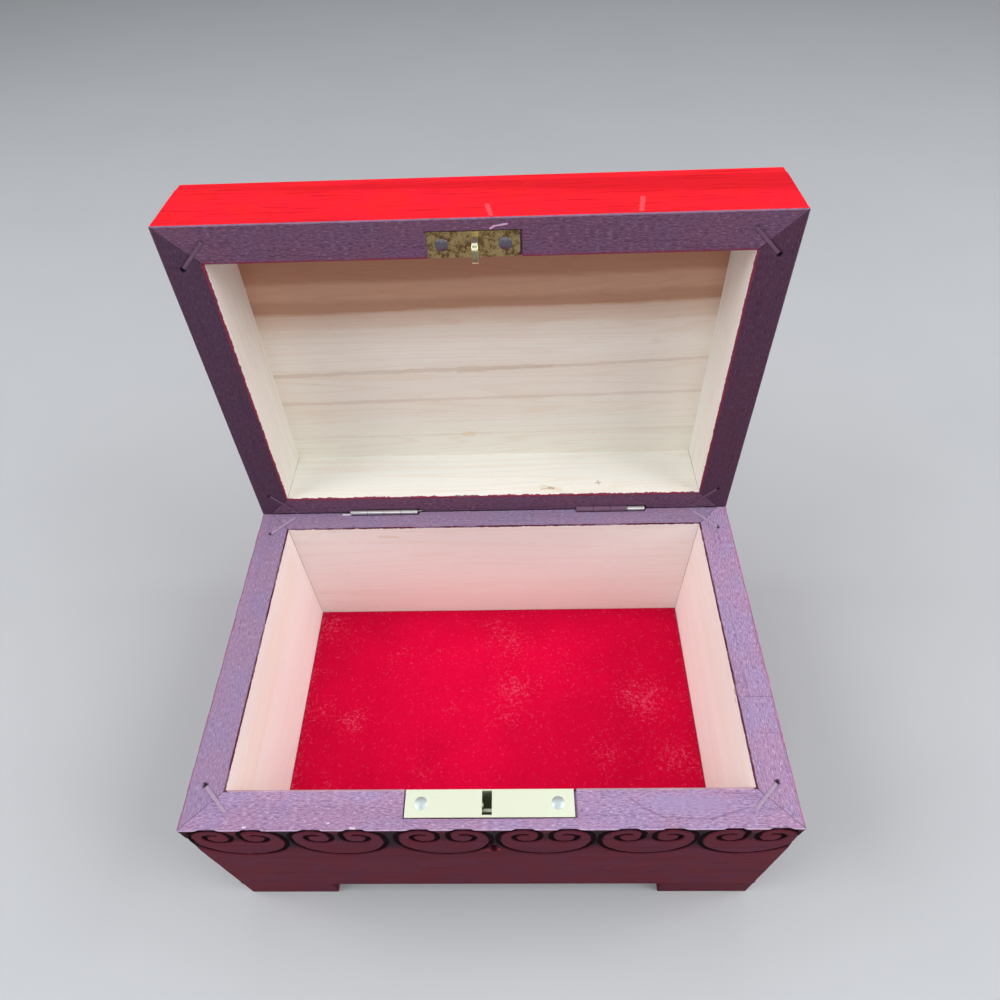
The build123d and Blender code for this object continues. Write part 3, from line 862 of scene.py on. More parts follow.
def linked(name: str, points: Sequence, edges: Sequence = (), faces: Sequence = ()) -> bpy.types.Object:
    """Makes a mesh object in the scene.

    Args:
        name: its name.
        points: its vertices.
        edges: vertex indices for each edge.
        faces: vertex indices for each face.

    Returns:
        The object.
    """
    mesh = bpy.data.meshes.new(name)
    mesh.from_pydata([tuple(point) for point in points], edges, faces)
    made = bpy.data.objects.new(name, mesh)
    bpy.context.scene.collection.objects.link(made)
    return made


def solid(name: str, points: Sequence, faces: Sequence, values: Optional[dict] = None) -> bpy.types.Object:
    """Makes a closed mesh object with its normals outwards.

    Args:
        name: its name.
        points: its vertices.
        faces: vertex indices for each face.
        values: attributes by name, one number or one vector a vertex.

    Returns:
        The object.
    """
    made = linked(name, points, (), faces)
    work = bmesh.new()
    work.from_mesh(made.data)
    bmesh.ops.recalc_face_normals(work, faces=work.faces)
    work.to_mesh(made.data)
    work.free()
    write_values(made.data, values or {})
    made.data.shade_smooth()
    made.data.set_sharp_from_angle(angle=SHARP_ANGLE)
    return made


def set_vertices(target: bpy.types.Object, points: np.ndarray) -> None:
    """Puts a mesh's vertices at new places."""
    target.data.vertices.foreach_set("co", points.astype(np.float32).ravel())
    target.data.update()


def get_vertices(target: bpy.types.Object) -> np.ndarray:
    """A mesh's vertices as an array of rows."""
    points = np.zeros(len(target.data.vertices) * 3, np.float32)
    target.data.vertices.foreach_get("co", points)
    return points.reshape(-1, 3).astype(float)


def drop(*objects: bpy.types.Object) -> None:
    """Removes helper objects."""
    for helper in objects:
        bpy.data.objects.remove(helper)


def hand_over(piece: bpy.types.Object, body: str, node: str, slot: str) -> None:
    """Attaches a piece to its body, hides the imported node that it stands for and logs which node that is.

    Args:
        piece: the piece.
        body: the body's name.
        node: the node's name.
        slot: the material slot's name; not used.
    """
    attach(piece, body)
    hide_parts(node)
    log.info("%s stands for %s", piece.name, node)


class NodeTool:
    """A geometry node tree with named inputs, run on an object and turned into a plain mesh."""

    def __init__(self, name: str, **inputs: str) -> None:
        """Makes the tree, which ends in Realize Instances and Set Material.

        Args:
            name: the tree's name.
            inputs: further inputs' socket types by name, with underscores for spaces.
        """
        self.sketch, given = start_tree(name, "GeometryNodeTree",
                                        {"Geometry": "Geometry", **inputs, "Material": "Material"})
        self.tree = self.sketch.tree
        self.tree.interface.new_socket("Geometry", in_out="OUTPUT", socket_type="NodeSocketGeometry")
        real = self.sketch.put("GeometryNodeRealizeInstances", {0: self.shape(given)})
        dressed = self.sketch.put("GeometryNodeSetMaterial", {"Geometry": real, "Material": given["Material"]})
        self.sketch.put("NodeGroupOutput", {0: dressed})

    def shape(self, given: Wire) -> Wire:
        """What the tree makes from its inputs, which each tool gives."""
        raise NotImplementedError

    def named(self, name: str, kind: str = "FLOAT") -> Wire:
        """The tree's reading of a named attribute."""
        return self.sketch.put("GeometryNodeInputNamedAttribute", {"Name": name}, data_type=kind)

    def repeated(self, points: Wire, shape: Wire, turn: Wire, size: Optional[Wire] = None) -> Wire:
        """Repeats an object's mesh on points.

        Args:
            points: the points.
            shape: the object.
            turn: each copy's Euler turn.
            size: each copy's scale.

        Returns:
            The instances.
        """
        mesh = self.sketch.put("GeometryNodeObjectInfo", {"Object": shape})["Geometry"]
        turn = self.sketch.put("FunctionNodeEulerToRotation", {0: turn})
        return self.sketch.put("GeometryNodeInstanceOnPoints",
                               {"Points": points, "Instance": mesh, "Rotation": turn, "Scale": size})

    def run(self, target: bpy.types.Object, **values: object) -> None:
        """Runs the tree on an object and keeps the result as its mesh.

        Args:
            target: the object, whose mesh is replaced.
            values: the tree's inputs, with underscores for spaces.
        """
        modifier = target.modifiers.new(self.tree.name, "NODES")
        modifier.node_group = self.tree
        sockets = {item.name: item.identifier for item in self.tree.interface.items_tree
                   if item.item_type == "SOCKET" and item.in_out == "INPUT"}
        for key, value in values.items():
            modifier[sockets[key.replace("_", " ")]] = value
        bpy.context.view_layer.update()
        graph = bpy.context.evaluated_depsgraph_get()
        mesh = bpy.data.meshes.new_from_object(target.evaluated_get(graph), preserve_all_data_layers=True,
                                               depsgraph=graph)
        target.modifiers.clear()
        target.data = mesh


@dataclass(frozen=True)
class Scroll:
    """One carved motif: two mirrored volutes rising from the bottom of a wide C."""

    bottom: float = -27.6 * MM
    sweep: float = 15.7 * MM
    flank: float = 2.2 * MM
    shoulder: float = 8.7 * MM
    crest: float = 5.0 * MM
    neck: float = 3.4 * MM
    bowl: float = 4.3 * MM
    eye: float = 3.3 * MM
    sweep_turn: float = 95.0
    eye_turn: float = 105.0
    step: float = 0.3 * MM
    pitch: float = 33.4 * MM
    scale: float = 1.0

    def half(self) -> list[tuple[float, float]]:
        """Walks the right-hand volute from the bottom of the C.

        Returns:
            Points (across, up) from the motif's centre on the rim's edge.
        """
        x, z, heading = 0.0, self.bottom, 0.0
        points = [(x, z)]
        # Each step is a radius and a turn to the left in degrees; a straight run has a length and no radius.
        steps = ((self.sweep, self.sweep_turn), (None, self.flank), (self.shoulder, 180 - self.sweep_turn),
                 (self.crest, 90), (None, self.neck), (self.bowl, 180), (self.eye, self.eye_turn))
        for radius, amount in steps:
            length = amount if radius is None else radius * math.radians(amount)
            count = max(2, round(length / self.step))
            for _ in range(count):
                bend = 0.0 if radius is None else math.radians(amount) / count
                heading += bend / 2
                x += length / count * math.cos(heading)
                z += length / count * math.sin(heading)
                heading += bend / 2
                points.append((x, z))
        return [(x * self.scale, z * self.scale) for x, z in points]

    def lines(self) -> bpy.types.Object:
        """The motif as a helper object of edges in its own XY plane, Y towards the rim."""
        right = self.half()
        points = [(-x, z, 0.0) for x, z in reversed(right)] + [(x, z, 0.0) for x, z in right[1:]]
        return linked("scroll_lines", points, [(i, i + 1) for i in range(len(points) - 1)])

    def ground(self, across: np.ndarray, up: np.ndarray, centres: Sequence[float]) -> np.ndarray:
        """Where the wood between the scrolls is stained dark.

        Args:
            across: places along the board.
            up: places above the rim's edge, so negative.
            centres: the motifs' centres.

        Returns:
            A mask from 0 to 1.
        """
        middle_up, top_up = self.bottom + self.sweep, -0.4 * MM - self.shoulder
        inside = notch = np.full(across.shape, np.inf)
        for centre in centres:
            dx = np.abs(across - centre)
            bowl = np.hypot(dx, up - middle_up) - self.sweep
            shoulder = np.hypot(np.maximum(dx - self.sweep + self.shoulder, 0), up - top_up) - self.shoulder
            body = np.where(up < middle_up, bowl, np.where(up > top_up, shoulder, dx - self.sweep))
            inside = np.minimum(inside, body)
            notch = np.minimum(notch, dx + np.abs(up + 7.5 * MM) * 0.3)
        fade = smooth_step(-up, 23.0 * MM, 16.0 * MM) * smooth_step(-up, 0.4 * MM, 3.0 * MM)
        v_shape = smooth_step(notch, 2.3 * MM, 0.8 * MM) * smooth_step(-up, 13.5 * MM, 11.0 * MM)
        return np.maximum(smooth_step(inside, 0.0, 0.6 * MM) * fade, 0.75 * v_shape)


class CarvingTool(NodeTool):
    """Cuts a V groove wherever a board's skin lies near the lines of the repeated scrolls."""

    half_width = 1.1 * MM
    depth = 1.1 * MM
    unevenness = 0.16

    def __init__(self) -> None:
        """Builds the tree."""
        super().__init__("carve_scrolls", Lines="Object", Places="Object", Half_Width="Float", Depth="Float",
                         Inward="Vector", Unevenness="Float")

    def shape(self, given: Wire) -> Wire:
        """Stores the groove as an attribute and pushes the skin in along it.

        Args:
            given: the tree's inputs.

        Returns:
            The carved geometry.
        """
        put = self.sketch.put
        places = put("GeometryNodeObjectInfo", {"Object": given["Places"]})["Geometry"]
        spread = self.repeated(places, given["Lines"], self.named("turn", "FLOAT_VECTOR"))
        near = put("GeometryNodeProximity", {0: put("GeometryNodeRealizeInstances", {0: spread})},
                   target_element="EDGES")
        uneven = put("GeometryNodeInputPosition").noise(210.0, 2.0).span(
            0.3, 0.7, 1.0 - given["Unevenness"], given["Unevenness"] + 1.0, False)
        share = near["Distance"] / (given["Half Width"] * uneven)
        cut = (1.0 - share).clamped() * self.named("carve")
        stored = put("GeometryNodeStoreNamedAttribute", {"Geometry": given["Geometry"], "Name": "groove", "Value": cut},
                     data_type="FLOAT", domain="POINT")
        deep = self.sketch.math("POWER", cut, 0.75) * given["Depth"]
        push = put("ShaderNodeVectorMath", {0: given["Inward"], "Scale": deep}, operation="SCALE")
        return put("GeometryNodeSetPosition", {"Geometry": stored, "Offset": push})

    def carve(self, piece: bpy.types.Object, scroll: Scroll, spots: Sequence, turns: Sequence, inward: Sequence,
              finish: bpy.types.Material) -> None:
        """Carves the scrolls into a piece and dresses it.

        Args:
            piece: the piece.
            scroll: the motif.
            spots: where each motif's centre lies on the rim's edge.
            turns: each motif's Euler turn.
            inward: the direction into the wood.
            finish: the piece's finish.
        """
        lines, places = scroll.lines(), turned_points(spots, turns)
        self.run(piece, Lines=lines, Places=places, Half_Width=self.half_width, Depth=self.depth,
                 Inward=tuple(inward), Unevenness=self.unevenness, Material=finish)
        drop(lines, places)


def turned_points(spots: Sequence, turns: Sequence) -> bpy.types.Object:
    """Makes the points that a motif or a staple is repeated on, each with its Euler turn."""
    made = linked("repeated_places", spots)
    write_values(made.data, {"turn": np.array([tuple(turn) for turn in turns])})
    return made


Shaper = Callable[[np.ndarray], None]


@dataclass
class Board:
    """One mitred board of the case or the lid, with worn arrises.

    Its own measures are along its length, in from its outer face and down from its rim.
    """

    name: str
    length: float
    thickness: float
    height: float
    origin: Vector
    along: Vector
    inward: Vector
    down: Vector
    seed: float
    carved: bool
    bevel: float
    hinge_in: Optional[float] = None
    step: float = 0.42 * MM
    coarse: float = 2.6 * MM
    row: float = 0.38 * MM
    arris: float = 0.3 * MM
    inner_arris: float = 0.25 * MM
    corner: float = 0.5 * MM
    corner_start: float = 0.293
    corner_wobble: float = 0.25
    wobble_rate: float = 310.0
    corner_reach: float = 21.0 * MM
    planed: float = 0.03 * MM
    mitre_depth: float = 0.16 * MM
    mitre_width: float = 0.32 * MM
    carve_band: float = 29.6 * MM
    extra_columns: list[float] = field(default_factory=list)
    extra_rows: list[float] = field(default_factory=list)
    shapers: list[Shaper] = field(default_factory=list)

    def columns(self) -> np.ndarray:
        """Grid lines along the board, dense near its ends and where it is carved.

        Returns:
            The sorted lines.
        """
        half = self.length / 2
        edge = np.array([0.0, 0.06, 0.16, 0.3, 0.5, 0.75]) * MM
        near = np.arange(0, self.corner_reach, self.step)
        main = np.linspace(-half, half, round(self.length / (self.step if self.carved else self.coarse)) + 1)
        return merged_lines(np.concatenate([-half + edge, half - edge]), self.extra_columns,
                            np.concatenate([-half + near, half - near]), main, least=0.45 * self.step)

    def section(self) -> np.ndarray:
        """The board's outline across its length, up the outer face, over the rim and down the inner face.

        Returns:
            Rows of (in, down, past the outer arris, past the inner arris, carve mask), all in metres but the last.
        """
        turn = np.linspace(0, math.pi / 2, 5)
        plain = self.hinge_in is None
        start, flat = (self.arris, self.arris) if plain else (self.hinge_in * math.tan(self.bevel), self.hinge_in)
        dense = np.arange(start, self.carve_band if self.carved else start + 0.1 * MM, self.row)
        downs = merged_lines([start, self.height], self.extra_rows, dense, np.linspace(start, self.height, 9),
                             least=0.4 * self.row)
        rows = [(0.0, down, -(down - start), -1.0, 1.0) for down in downs[::-1]]
        if plain:
            rows += [(self.arris * (1 - math.cos(angle)), self.arris * (1 - math.sin(angle)),
                      self.arris * angle / turn[-1], -1.0, 0.6) for angle in turn[1:-1]]
        else:
            rows += [(share * flat, (1 - share) * start, share * flat, -1.0, 0.0)
                     for share in np.linspace(0, 1, 14)[1:-1]]
        inner = self.thickness - self.inner_arris
        rows += [(place, 0.0, place, place - self.thickness, 0.0)
                 for place in np.linspace(flat, inner, round((inner - flat) / (1.05 * self.row)) + 1)]
        for angle in turn[1:]:
            fall = self.inner_arris * (1 - math.cos(angle))
            rows.append((inner + self.inner_arris * math.sin(angle), fall, self.thickness, fall, 0.0))
        near = self.inner_arris + np.array([0.5, 1.2, 2.5]) * MM
        inner_rows = merged_lines([self.height], near, np.linspace(self.inner_arris, self.height, 9)[1:],
                                  least=1.0 * MM)
        return np.array(rows + [(self.thickness, down, self.thickness, down, 0.0) for down in inner_rows])

    def build(self) -> bpy.types.Object:
        """Sweeps the outline along the board, mitres its ends and shapes its skin.

        Returns:
            The object, in the closed place.
        """
        section, columns = self.section(), self.columns()
        rows, count, half = len(section), len(columns), self.length / 2
        along = np.repeat(columns[:, None], rows, axis=1)
        into = np.repeat(section[None, :, 0], count, axis=0)
        down = np.repeat(section[None, :, 1], count, axis=0)
        to_end = half - np.abs(along)
        radius = self.corner * (1.0 + self.corner_wobble * np.sin(down * self.wobble_rate + self.seed))
        rounded = np.maximum(radius - to_end - self.corner_start * radius, 0)
        inset = radius - np.sqrt(np.maximum(radius**2 - rounded**2, 0))
        into = np.where((into < 0.5 * self.thickness) & (into < inset), inset, into)
        into = into + ripple(along, self.seed, self.planed) * ((section[:, 0] > 0) & (section[:, 0] < 1 * MM))
        beyond = np.clip((np.abs(along) - half + self.corner_reach) / self.corner_reach, 0, 1)
        along = np.sign(along) * (np.abs(along) - beyond * into)
        mitre = self.mitre_depth * np.clip(1 - to_end / self.mitre_width, 0, 1)
        down = down + np.where((section[:, 1] < 1e-6)[None, :], mitre, 0)
        local = np.stack([along, into, down], axis=2)
        for shape in self.shapers:
            shape(local)
        flat = local.reshape(-1, 3)
        points = np.array(self.origin, float) + flat @ np.array([self.along, self.inward, self.down], float)
        index = np.arange(rows * count).reshape(count, rows)
        after = np.roll(index, -1, axis=1)
        quads = np.stack([index[:-1], after[:-1], after[1:], index[1:]], axis=2).reshape(-1, 4)
        past = np.tile(section, (count, 1))
        return solid(self.name, points, quads.tolist() + [index[0].tolist(), index[-1].tolist()], {
            "board": flat[:, [0, 2, 1]] + board_shift(self.seed),
            "unroll": np.stack([past[:, 2], past[:, 3], np.maximum(to_end, 0).ravel()], axis=1),
            "carve": past[:, 4] * float(self.carved),
            "ground": np.zeros(rows * count),
            "groove": np.zeros(rows * count),
        })


@dataclass
class MitredFrame:
    """Four mitred boards round the case or the closed lid."""

    body: str
    sizes: Sizes
    finish: bpy.types.Material
    carver: CarvingTool
    scroll: Scroll
    staple_half: float = 6.4 * MM
    staple_width: float = 1.6 * MM
    staple_offset: float = 3.9 * MM
    staple_depth: float = 0.42 * MM
    channel_top: float = 0.7
    channel_floor: float = 0.42
    channel_from: float = 0.6 * MM
    rim_band: float = 0.25 * MM
    pit_radius: float = 0.95 * MM
    pit_floor: float = 0.55
    # How far round each staple's end hole the painted shade reaches, as a share of pit_radius.
    pit_shade: float = 0.9
    pit_depth: float = 1.6 * MM
    ground_depth: float = 0.3 * MM
    leaf_gap: float = 0.2 * MM
    leaf_end: float = 0.2 * MM
    leaf_back: float = -0.95 * MM
    knuckle: float = 1.8 * MM
    edge: float = 0.03 * MM
    front_motifs: tuple[float, ...] = (-83.2, -49.8, -14.9, 18.6, 52.0, 84.9)

    @property
    def is_lid(self) -> bool:
        """Whether the boards are the lid's."""
        return self.body == "lid"

    @property
    def rim_z(self) -> float:
        """The height of the rim's plane."""
        return self.sizes.rim_z + (self.sizes.rim_gap if self.is_lid else 0.0)

    def staples(self) -> list[tuple[np.ndarray, np.ndarray]]:
        """Where the four staples cross the mitres.

        Returns:
            Each staple's start and end (x, y).
        """
        s, made = self.sizes, []
        step, reach = self.staple_offset / math.sqrt(2), self.staple_half / math.sqrt(2)
        for side in ((-1, -1), (-1, 1), (1, -1), (1, 1)):
            x = side[0] * (s.half_length - s.wall + step)
            y = s.middle_y + side[1] * (s.depth / 2 - s.wall + step)
            made.append((np.array((x - side[0] * reach, y + side[1] * reach)),
                         np.array((x + side[0] * reach, y - side[1] * reach))))
        return made

    def board(self, side: Side) -> Board:
        """Sets out one board with its channels and cuts.

        Args:
            side: which board.

        Returns:
            The board, ready to build.
        """
        s = self.sizes
        length, x, y, along, inward = {
            Side.FRONT: (2 * s.half_length, 0, s.front_y, (1, 0, 0), (0, 1, 0)),
            Side.REAR: (2 * s.half_length, 0, s.back_y, (1, 0, 0), (0, -1, 0)),
            Side.LEFT: (s.depth, -s.half_length, s.middle_y, (0, 1, 0), (1, 0, 0)),
            Side.RIGHT: (s.depth, s.half_length, s.middle_y, (0, 1, 0), (-1, 0, 0)),
        }[side]
        height = s.lid_wall if self.is_lid else s.rim_z - s.wall_z
        made = Board(f"{self.body}_{side.value}_board", length, s.wall, height, Vector((x, y, self.rim_z)),
                     Vector(along), Vector(inward), Vector((0, 0, 1 if self.is_lid else -1)),
                     1.0 + list(Side).index(side) + (4.0 if self.is_lid else 0.0), not self.is_lid, s.bevel)
        if side is Side.REAR:
            made.hinge_in = s.back_y - s.hinge_y
            made.shapers.append(self.leaf_recess)
            for low, high in (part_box("left_hinge_box_leaf"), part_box("right_hinge_box_leaf")):
                near, far = low.x - self.leaf_gap, high.x + self.leaf_gap
                made.extra_columns += [near - self.edge, near, far, far + self.edge]
        elif side is not Side.FRONT:
            made.extra_columns.append(s.hinge_y - y)
            made.shapers.append(partial(self.bevel_cut, y))
        made.shapers.append(partial(self.staple_channels, made))
        if side is Side.FRONT:
            LockCuts(s).add(made, self.is_lid)
        return made

    def staple_channels(self, board: Board, local: np.ndarray) -> None:
        """Sinks a rounded channel for each staple into a board's rim.

        Args:
            board: the board.
            local: its points, which are moved.
        """
        axes = np.array([board.along, board.inward], float)
        place = np.array(board.origin, float) + local.reshape(-1, 3)[:, :2] @ axes
        flat = place[:, :2].reshape(*local.shape[:2], 2)
        on_rim = (local[:, :, 2] < self.rim_band) & (local[:, :, 1] > self.channel_from)
        for a, b in self.staples():
            share = np.clip(((flat - a) @ (b - a)) / ((b - a) @ (b - a)), 0, 1)
            apart = np.linalg.norm(flat - (a + share[:, :, None] * (b - a)), axis=2)
            cut = smooth_step(apart, self.staple_width * self.channel_top, self.staple_width * self.channel_floor)
            pit = smooth_step(np.linalg.norm(flat - b, axis=2), self.pit_radius, self.pit_floor * self.pit_radius)
            local[:, :, 2] += np.where(on_rim, np.maximum(self.staple_depth * cut, self.pit_depth * pit), 0)

    def bevel_cut(self, middle_y: float, local: np.ndarray) -> None:
        """Planes the stop bevel across a side board's rear end.

        Args:
            middle_y: the board's middle.
            local: its points, which are moved.
        """
        past = np.maximum(local[:, :, 0] + middle_y - self.sizes.hinge_y, 0)
        least, down = past * math.tan(self.sizes.bevel), local[:, :, 2]
        local[:, :, 2] = np.where((past > 0) & (down < least), least + 0.004 * down, down)

    def leaf_recess(self, local: np.ndarray) -> None:
        """Sinks the hinge leaves and clears their knuckles in a rear board.

        Args:
            local: the board's points, which are moved.
        """
        s, knuckle = self.sizes, self.knuckle
        cos, sin = math.cos(s.bevel), math.sin(s.bevel)
        hinge_in, reach = s.back_y - s.hinge_y, self.leaf_gap + self.edge / 2
        for low, high in (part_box("left_hinge_box_leaf"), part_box("right_hinge_box_leaf")):
            inside = (local[:, :, 0] > low.x - reach) & (local[:, :, 0] < high.x + reach)
            behind, above = hinge_in - local[:, :, 1], -local[:, :, 2] - s.rim_gap / 2
            along, out = behind * cos - above * sin, behind * sin + above * cos
            sunk = inside & (along > 0) & (along < hinge_in / cos - self.leaf_end) & (out > self.leaf_back)
            out = np.where(sunk, self.leaf_back, out)
            distance = np.hypot(along, out)
            near = inside & (distance < knuckle) & (out > -knuckle)
            scale = np.where(near, knuckle / np.maximum(distance, 1e-6), 1.0)
            along, out = along * scale, np.where(near, -np.abs(out * scale), out)
            changed = sunk | near
            local[:, :, 1] = np.where(changed, hinge_in - (along * cos + out * sin), local[:, :, 1])
            local[:, :, 2] = np.where(changed, along * sin - out * cos - s.rim_gap / 2, local[:, :, 2])

    def motif_centres(self, side: Side, length: float) -> list[float]:
        """Where the scrolls sit along a board.

        Args:
            side: which board.
            length: its length.

        Returns:
            The motifs' centres.
        """
        if side is Side.FRONT:
            return [place * MM for place in self.front_motifs]
        count = round(length / self.scroll.pitch)
        return [(i - (count - 1) / 2) * (length / count) + 0.5 * MM * math.sin(7.3 * i + count) for i in range(count)]

    def build(self) -> None:
        """Builds, carves and dresses the four boards."""
        for side in Side:
            board = self.board(side)
            piece = board.build()
            centres = self.motif_centres(side, board.length)
            self.stain_ground_and_shade_pits(piece, board, centres)
            up = -board.down
            turn = Matrix((board.along, up, board.along.cross(up))).transposed().to_euler()
            self.carver.carve(piece, self.scroll, [board.origin + board.along * centre for centre in centres],
                              [turn] * len(centres), board.inward, self.finish)
            if self.is_lid:
                self.sizes.open_up(piece)
            hand_over(piece, self.body, f"{self.body}_{side.value}_wall",
                      "red_painted_wood" if self.is_lid else "maroon_painted_wood")

    def stain_ground_and_shade_pits(self, piece: bpy.types.Object, board: Board, centres: Sequence[float]) -> None:
        """Marks the ground between the scrolls, which is lowered a little and stained, and paints shade into the holes
        at the staples' ends.

        Args:
            piece: the board's object.
            board: the board.
            centres: the motifs' centres.
        """
        points = get_vertices(piece)
        mask = np.zeros(len(points))
        if board.carved:
            relative = points - np.array(board.origin, float)
            across, up = relative @ np.array(board.along, float), -(relative @ np.array(board.down, float))
            mask = self.scroll.ground(across, up, centres) * (read_values(piece.data, "carve") > 0.5)
            set_vertices(piece, points + np.outer(mask, np.array(board.inward, float)) * self.ground_depth)
            points = get_vertices(piece)
        ground = mask.astype(np.float32)
        # Painted shade in the holes: the pits at the staples' ends take the ground's dark colour.
        for _, hole in self.staples():
            near_rim = np.abs(points[:, 2] - self.rim_z) < 2 * self.pit_depth
            apart = np.linalg.norm(points[:, :2] - hole, axis=1)
            ground[(apart < self.pit_shade * self.pit_radius) & near_rim] = 1.0
        piece.data.attributes["ground"].data.foreach_set("value", ground)


@dataclass
class LockCuts:
    """The lock's recess, pocket and keyhole in the case's front board, and the catch's recess in the lid's."""

    sizes: Sizes
    end_gap: float = 0.5 * MM
    front_gap: float = 0.15 * MM
    pocket_gap: float = 0.2 * MM
    edge: float = 0.03 * MM
    keyhole_radius: float = 1.8 * MM
    keyhole_slot: float = 5.0 * MM
    keyhole_slot_half: float = 0.9 * MM

    def add(self, board: Board, is_lid: bool) -> None:
        """Adds the cuts to a front board.

        Args:
            board: the board.
            is_lid: whether it is the lid's.
        """
        rim = board.origin.z
        if is_lid:
            low, high = self.sizes.closed_box("catch_plate")
            self._recess(board, low[0] - self.end_gap, high[0] + self.end_gap, low[1] - self.front_gap, high[2] - rim)
            return
        plate_low, plate_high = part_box("lock_plate")
        case_low, case_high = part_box("lock_case")
        self._recess(board, plate_low.x - self.end_gap, plate_high.x + self.end_gap, plate_low.y - self.front_gap,
                     rim - plate_low.z)
        self._recess(board, case_low.x - self.pocket_gap, case_high.x + self.pocket_gap,
                     case_low.y - self.pocket_gap, rim - case_low.z + self.pocket_gap)
        self._keyhole(board, case_low.y - board.origin.y - self.pocket_gap - 0.1 * MM)

    def _recess(self, board: Board, low_x: float, high_x: float, front_y: float, deep: float) -> None:
        """Adds a flat recess that is open at the board's inner face.

        Args:
            board: the board.
            low_x: where it begins.
            high_x: where it ends.
            front_y: its front wall.
            deep: its depth below the rim.
        """
        board.extra_columns += [low_x - self.edge, low_x, high_x, high_x + self.edge]

        def shape(local: np.ndarray) -> None:
            """Sinks the recess."""
            inside = (local[:, :, 0] > low_x - self.edge / 2) & (local[:, :, 0] < high_x + self.edge / 2)
            inside &= (local[:, :, 1] > front_y - board.origin.y) & (local[:, :, 2] < deep)
            local[:, :, 2] = np.where(inside, deep + 0.002 * local[:, :, 2], local[:, :, 2])

        board.shapers.append(shape)

    def _keyhole(self, board: Board, deep: float) -> None:
        """Cuts the keyhole over the key pin.

        Args:
            board: the board.
            deep: the keyhole's depth.
        """
        pin_low, pin_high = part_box("lock_key_pin")
        key_x, key_down = (pin_low.x + pin_high.x) / 2, board.origin.z - (pin_low.z + pin_high.z) / 2
        board.extra_columns += list(key_x + np.arange(-2.2, 2.21, 0.16) * MM)
        board.extra_rows += list(key_down + np.arange(-2.2, 5.4, 0.26) * MM)

        def shape(local: np.ndarray) -> None:
            """Pushes the outer face in."""
            across, down, into = local[:, :, 0] - key_x, local[:, :, 2] - key_down, local[:, :, 1]
            slot = np.minimum(self.keyhole_slot_half - np.abs(across), np.minimum(down, self.keyhole_slot - down))
            inside = np.maximum(self.keyhole_radius - np.hypot(across, down), slot)
            pushed = np.maximum(into, deep * smooth_step(inside, 0.0, 0.16 * MM))
            local[:, :, 1] = np.where(into < 0.4 * MM, pushed, into)

        board.shapers.append(shape)


def closed_sheet(x: np.ndarray, y: np.ndarray, z: np.ndarray, floor_z: float) -> tuple[np.ndarray, list, list]:
    """Closes a grid of points with upright edges and a flat underside.

    Args:
        x: the grid's x.
        y: the grid's y.
        z: the grid's z.
        floor_z: the underside's height.

    Returns:
        The points, the grid's first, the grid's faces and the other faces.
    """
    top = np.stack([x, y, z], axis=2).reshape(-1, 3)
    index = np.arange(x.size).reshape(x.shape)
    quads = np.stack([index[:-1, :-1], index[1:, :-1], index[1:, 1:], index[:-1, 1:]], axis=2).reshape(-1, 4)
    loop = np.concatenate([index[:, 0], index[-1, 1:], index[-2::-1, -1], index[0, -2:0:-1]])
    under = top[loop].copy()
    under[:, 2] = floor_z
    base = x.size + np.arange(len(loop))
    side = np.stack([loop, np.roll(loop, -1), np.roll(base, -1), base], axis=1)
    return np.concatenate([top, under]), quads.tolist(), side.tolist() + [base.tolist()]


